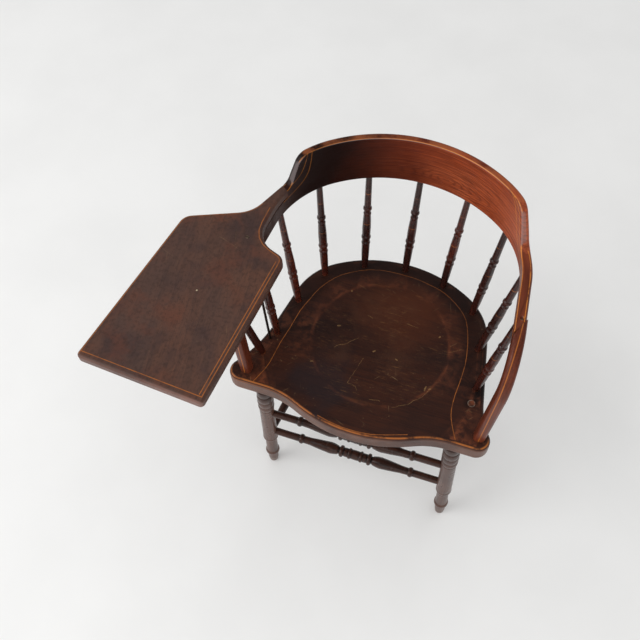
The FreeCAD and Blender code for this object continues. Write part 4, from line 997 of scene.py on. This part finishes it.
ROD_TONES = shade(70, 64, 60), shade(30, 27, 26), shade(62, 38, 26)
SCREW_TONES = shade(134, 112, 92), shade(84, 70, 58), shade(92, 60, 42)
dress(iron("dark_iron", ROD_TONES, rusted=0.7, rough=0.45, metal=0.9), "tie_rod")
dress(iron("screw_iron", SCREW_TONES, rusted=0.5, rough=0.4, metal=0.3), "tablet_screw",
      "scarf_screw")

# %% [markdown]
# ## Floor, light and camera
#
# The photograph has a pale floor in broad daylight. The floor is one large sheet, and the world
# adds an even light at a plain level, so that a colour renders about as it is written. In
# reflections the room is much darker than its light, so the varnish stays deep. One large lamp
# high in front on the left gives the soft shadows, and a lower one in front gives the legs their
# sheen.
# %% Floor
FLOOR_SIZE = 14.0
FLOOR_COLOUR, FLOOR_PALER = shade(236, 236, 235), shade(240, 240, 239)
FLOOR_CLOUDS = (3.0, 4.0, 0.5, 0.3, 0.7)
FLOOR_ROUGH, FLOOR_GLOSS = 0.7, 0.2
half = FLOOR_SIZE / 2
corners = [(-half, -half, 0), (half, -half, 0), (half, half, 0), (-half, half, 0)]
floor_mesh = bpy.data.meshes.new("floor")
floor_mesh.from_pydata(corners, [], [(0, 1, 2, 3)])
floor = bpy.data.objects.new("floor", floor_mesh)
bpy.context.scene.collection.objects.link(floor)
floor_paint, tree, surface = new_material("floor_paint")
cloud = patchy(tree, put(tree, "TexCoord").outputs["Object"], *FLOOR_CLOUDS)
feed(tree, surface, {"Base Color": tint(tree, cloud, FLOOR_COLOUR, FLOOR_PALER),
                     "Roughness": FLOOR_ROUGH, "Specular IOR Level": FLOOR_GLOSS})
floor_mesh.materials.append(floor_paint)
print("floor", FLOOR_SIZE, "m across")

# %% World
WORLD_LEVEL, MIRRORED_LEVEL = 0.8, 0.12
WHITE = (1.0, 1.0, 1.0, 1.0)
world = bpy.data.worlds.new("studio")
bpy.context.scene.world = world
world.use_nodes = True
tree = world.node_tree
mirrored = put(tree, "LightPath").outputs["Is Glossy Ray"]
strength = maths(tree, "MULTIPLY_ADD", mirrored, MIRRORED_LEVEL - WORLD_LEVEL, WORLD_LEVEL)
feed(tree, tree.nodes["Background"], {"Strength": strength, "Color": WHITE})
print("world at", WORLD_LEVEL, "and", MIRRORED_LEVEL, "in reflections")

# %% Lamps
CHAIR_MIDDLE = (0.05, 0.0, 0.45)


def lamp(name, place, size, power, colour):
    """A square soft lamp that looks at the chair."""
    light = bpy.data.lights.new(name, "AREA")
    light.size, light.energy, light.color = size, power, colour
    made = bpy.data.objects.new(name, light)
    made.location = place
    away = Vector(place) - Vector(CHAIR_MIDDLE)
    made.rotation_euler = away.to_track_quat("Z", "Y").to_euler()
    bpy.context.scene.collection.objects.link(made)
    print("lamp", name, power, "W")


lamp("window", (-2.6, -1.7, 2.5), size=2.4, power=50.0, colour=(1.0, 1.0, 1.0))
lamp("room", (0.4, -3.0, 1.8), size=2.0, power=12.0, colour=(1.0, 0.98, 0.97))

# %% Camera
FOCAL_MM, SENSOR_MM = 45.28, 36.0
CAMERA_PLAN = (184, -631, 1857)
YAW, PITCH, ROLL = math.radians(22.1), math.radians(59.4), math.radians(-3.7)
back = Vector((math.sin(YAW) * math.cos(PITCH), -math.cos(YAW) * math.cos(PITCH),
               math.sin(PITCH)))
level = Vector((math.cos(YAW), math.sin(YAW), 0))
over = back.cross(level)
right = level * math.cos(ROLL) + over * math.sin(ROLL)
up = over * math.cos(ROLL) - level * math.sin(ROLL)
turned = Matrix((right, up, back)).transposed().to_4x4()
lens = bpy.data.cameras.new("photo_camera")
lens.lens, lens.sensor_width = FOCAL_MM, SENSOR_MM
camera = bpy.data.objects.new("photo_camera", lens)
camera.matrix_world = Matrix.Translation(plan(*CAMERA_PLAN)) @ turned
bpy.context.scene.collection.objects.link(camera)
bpy.context.scene.camera = camera
bpy.context.scene.view_settings.view_transform = "Standard"
print("camera at", [round(v, 3) for v in camera.matrix_world.translation])
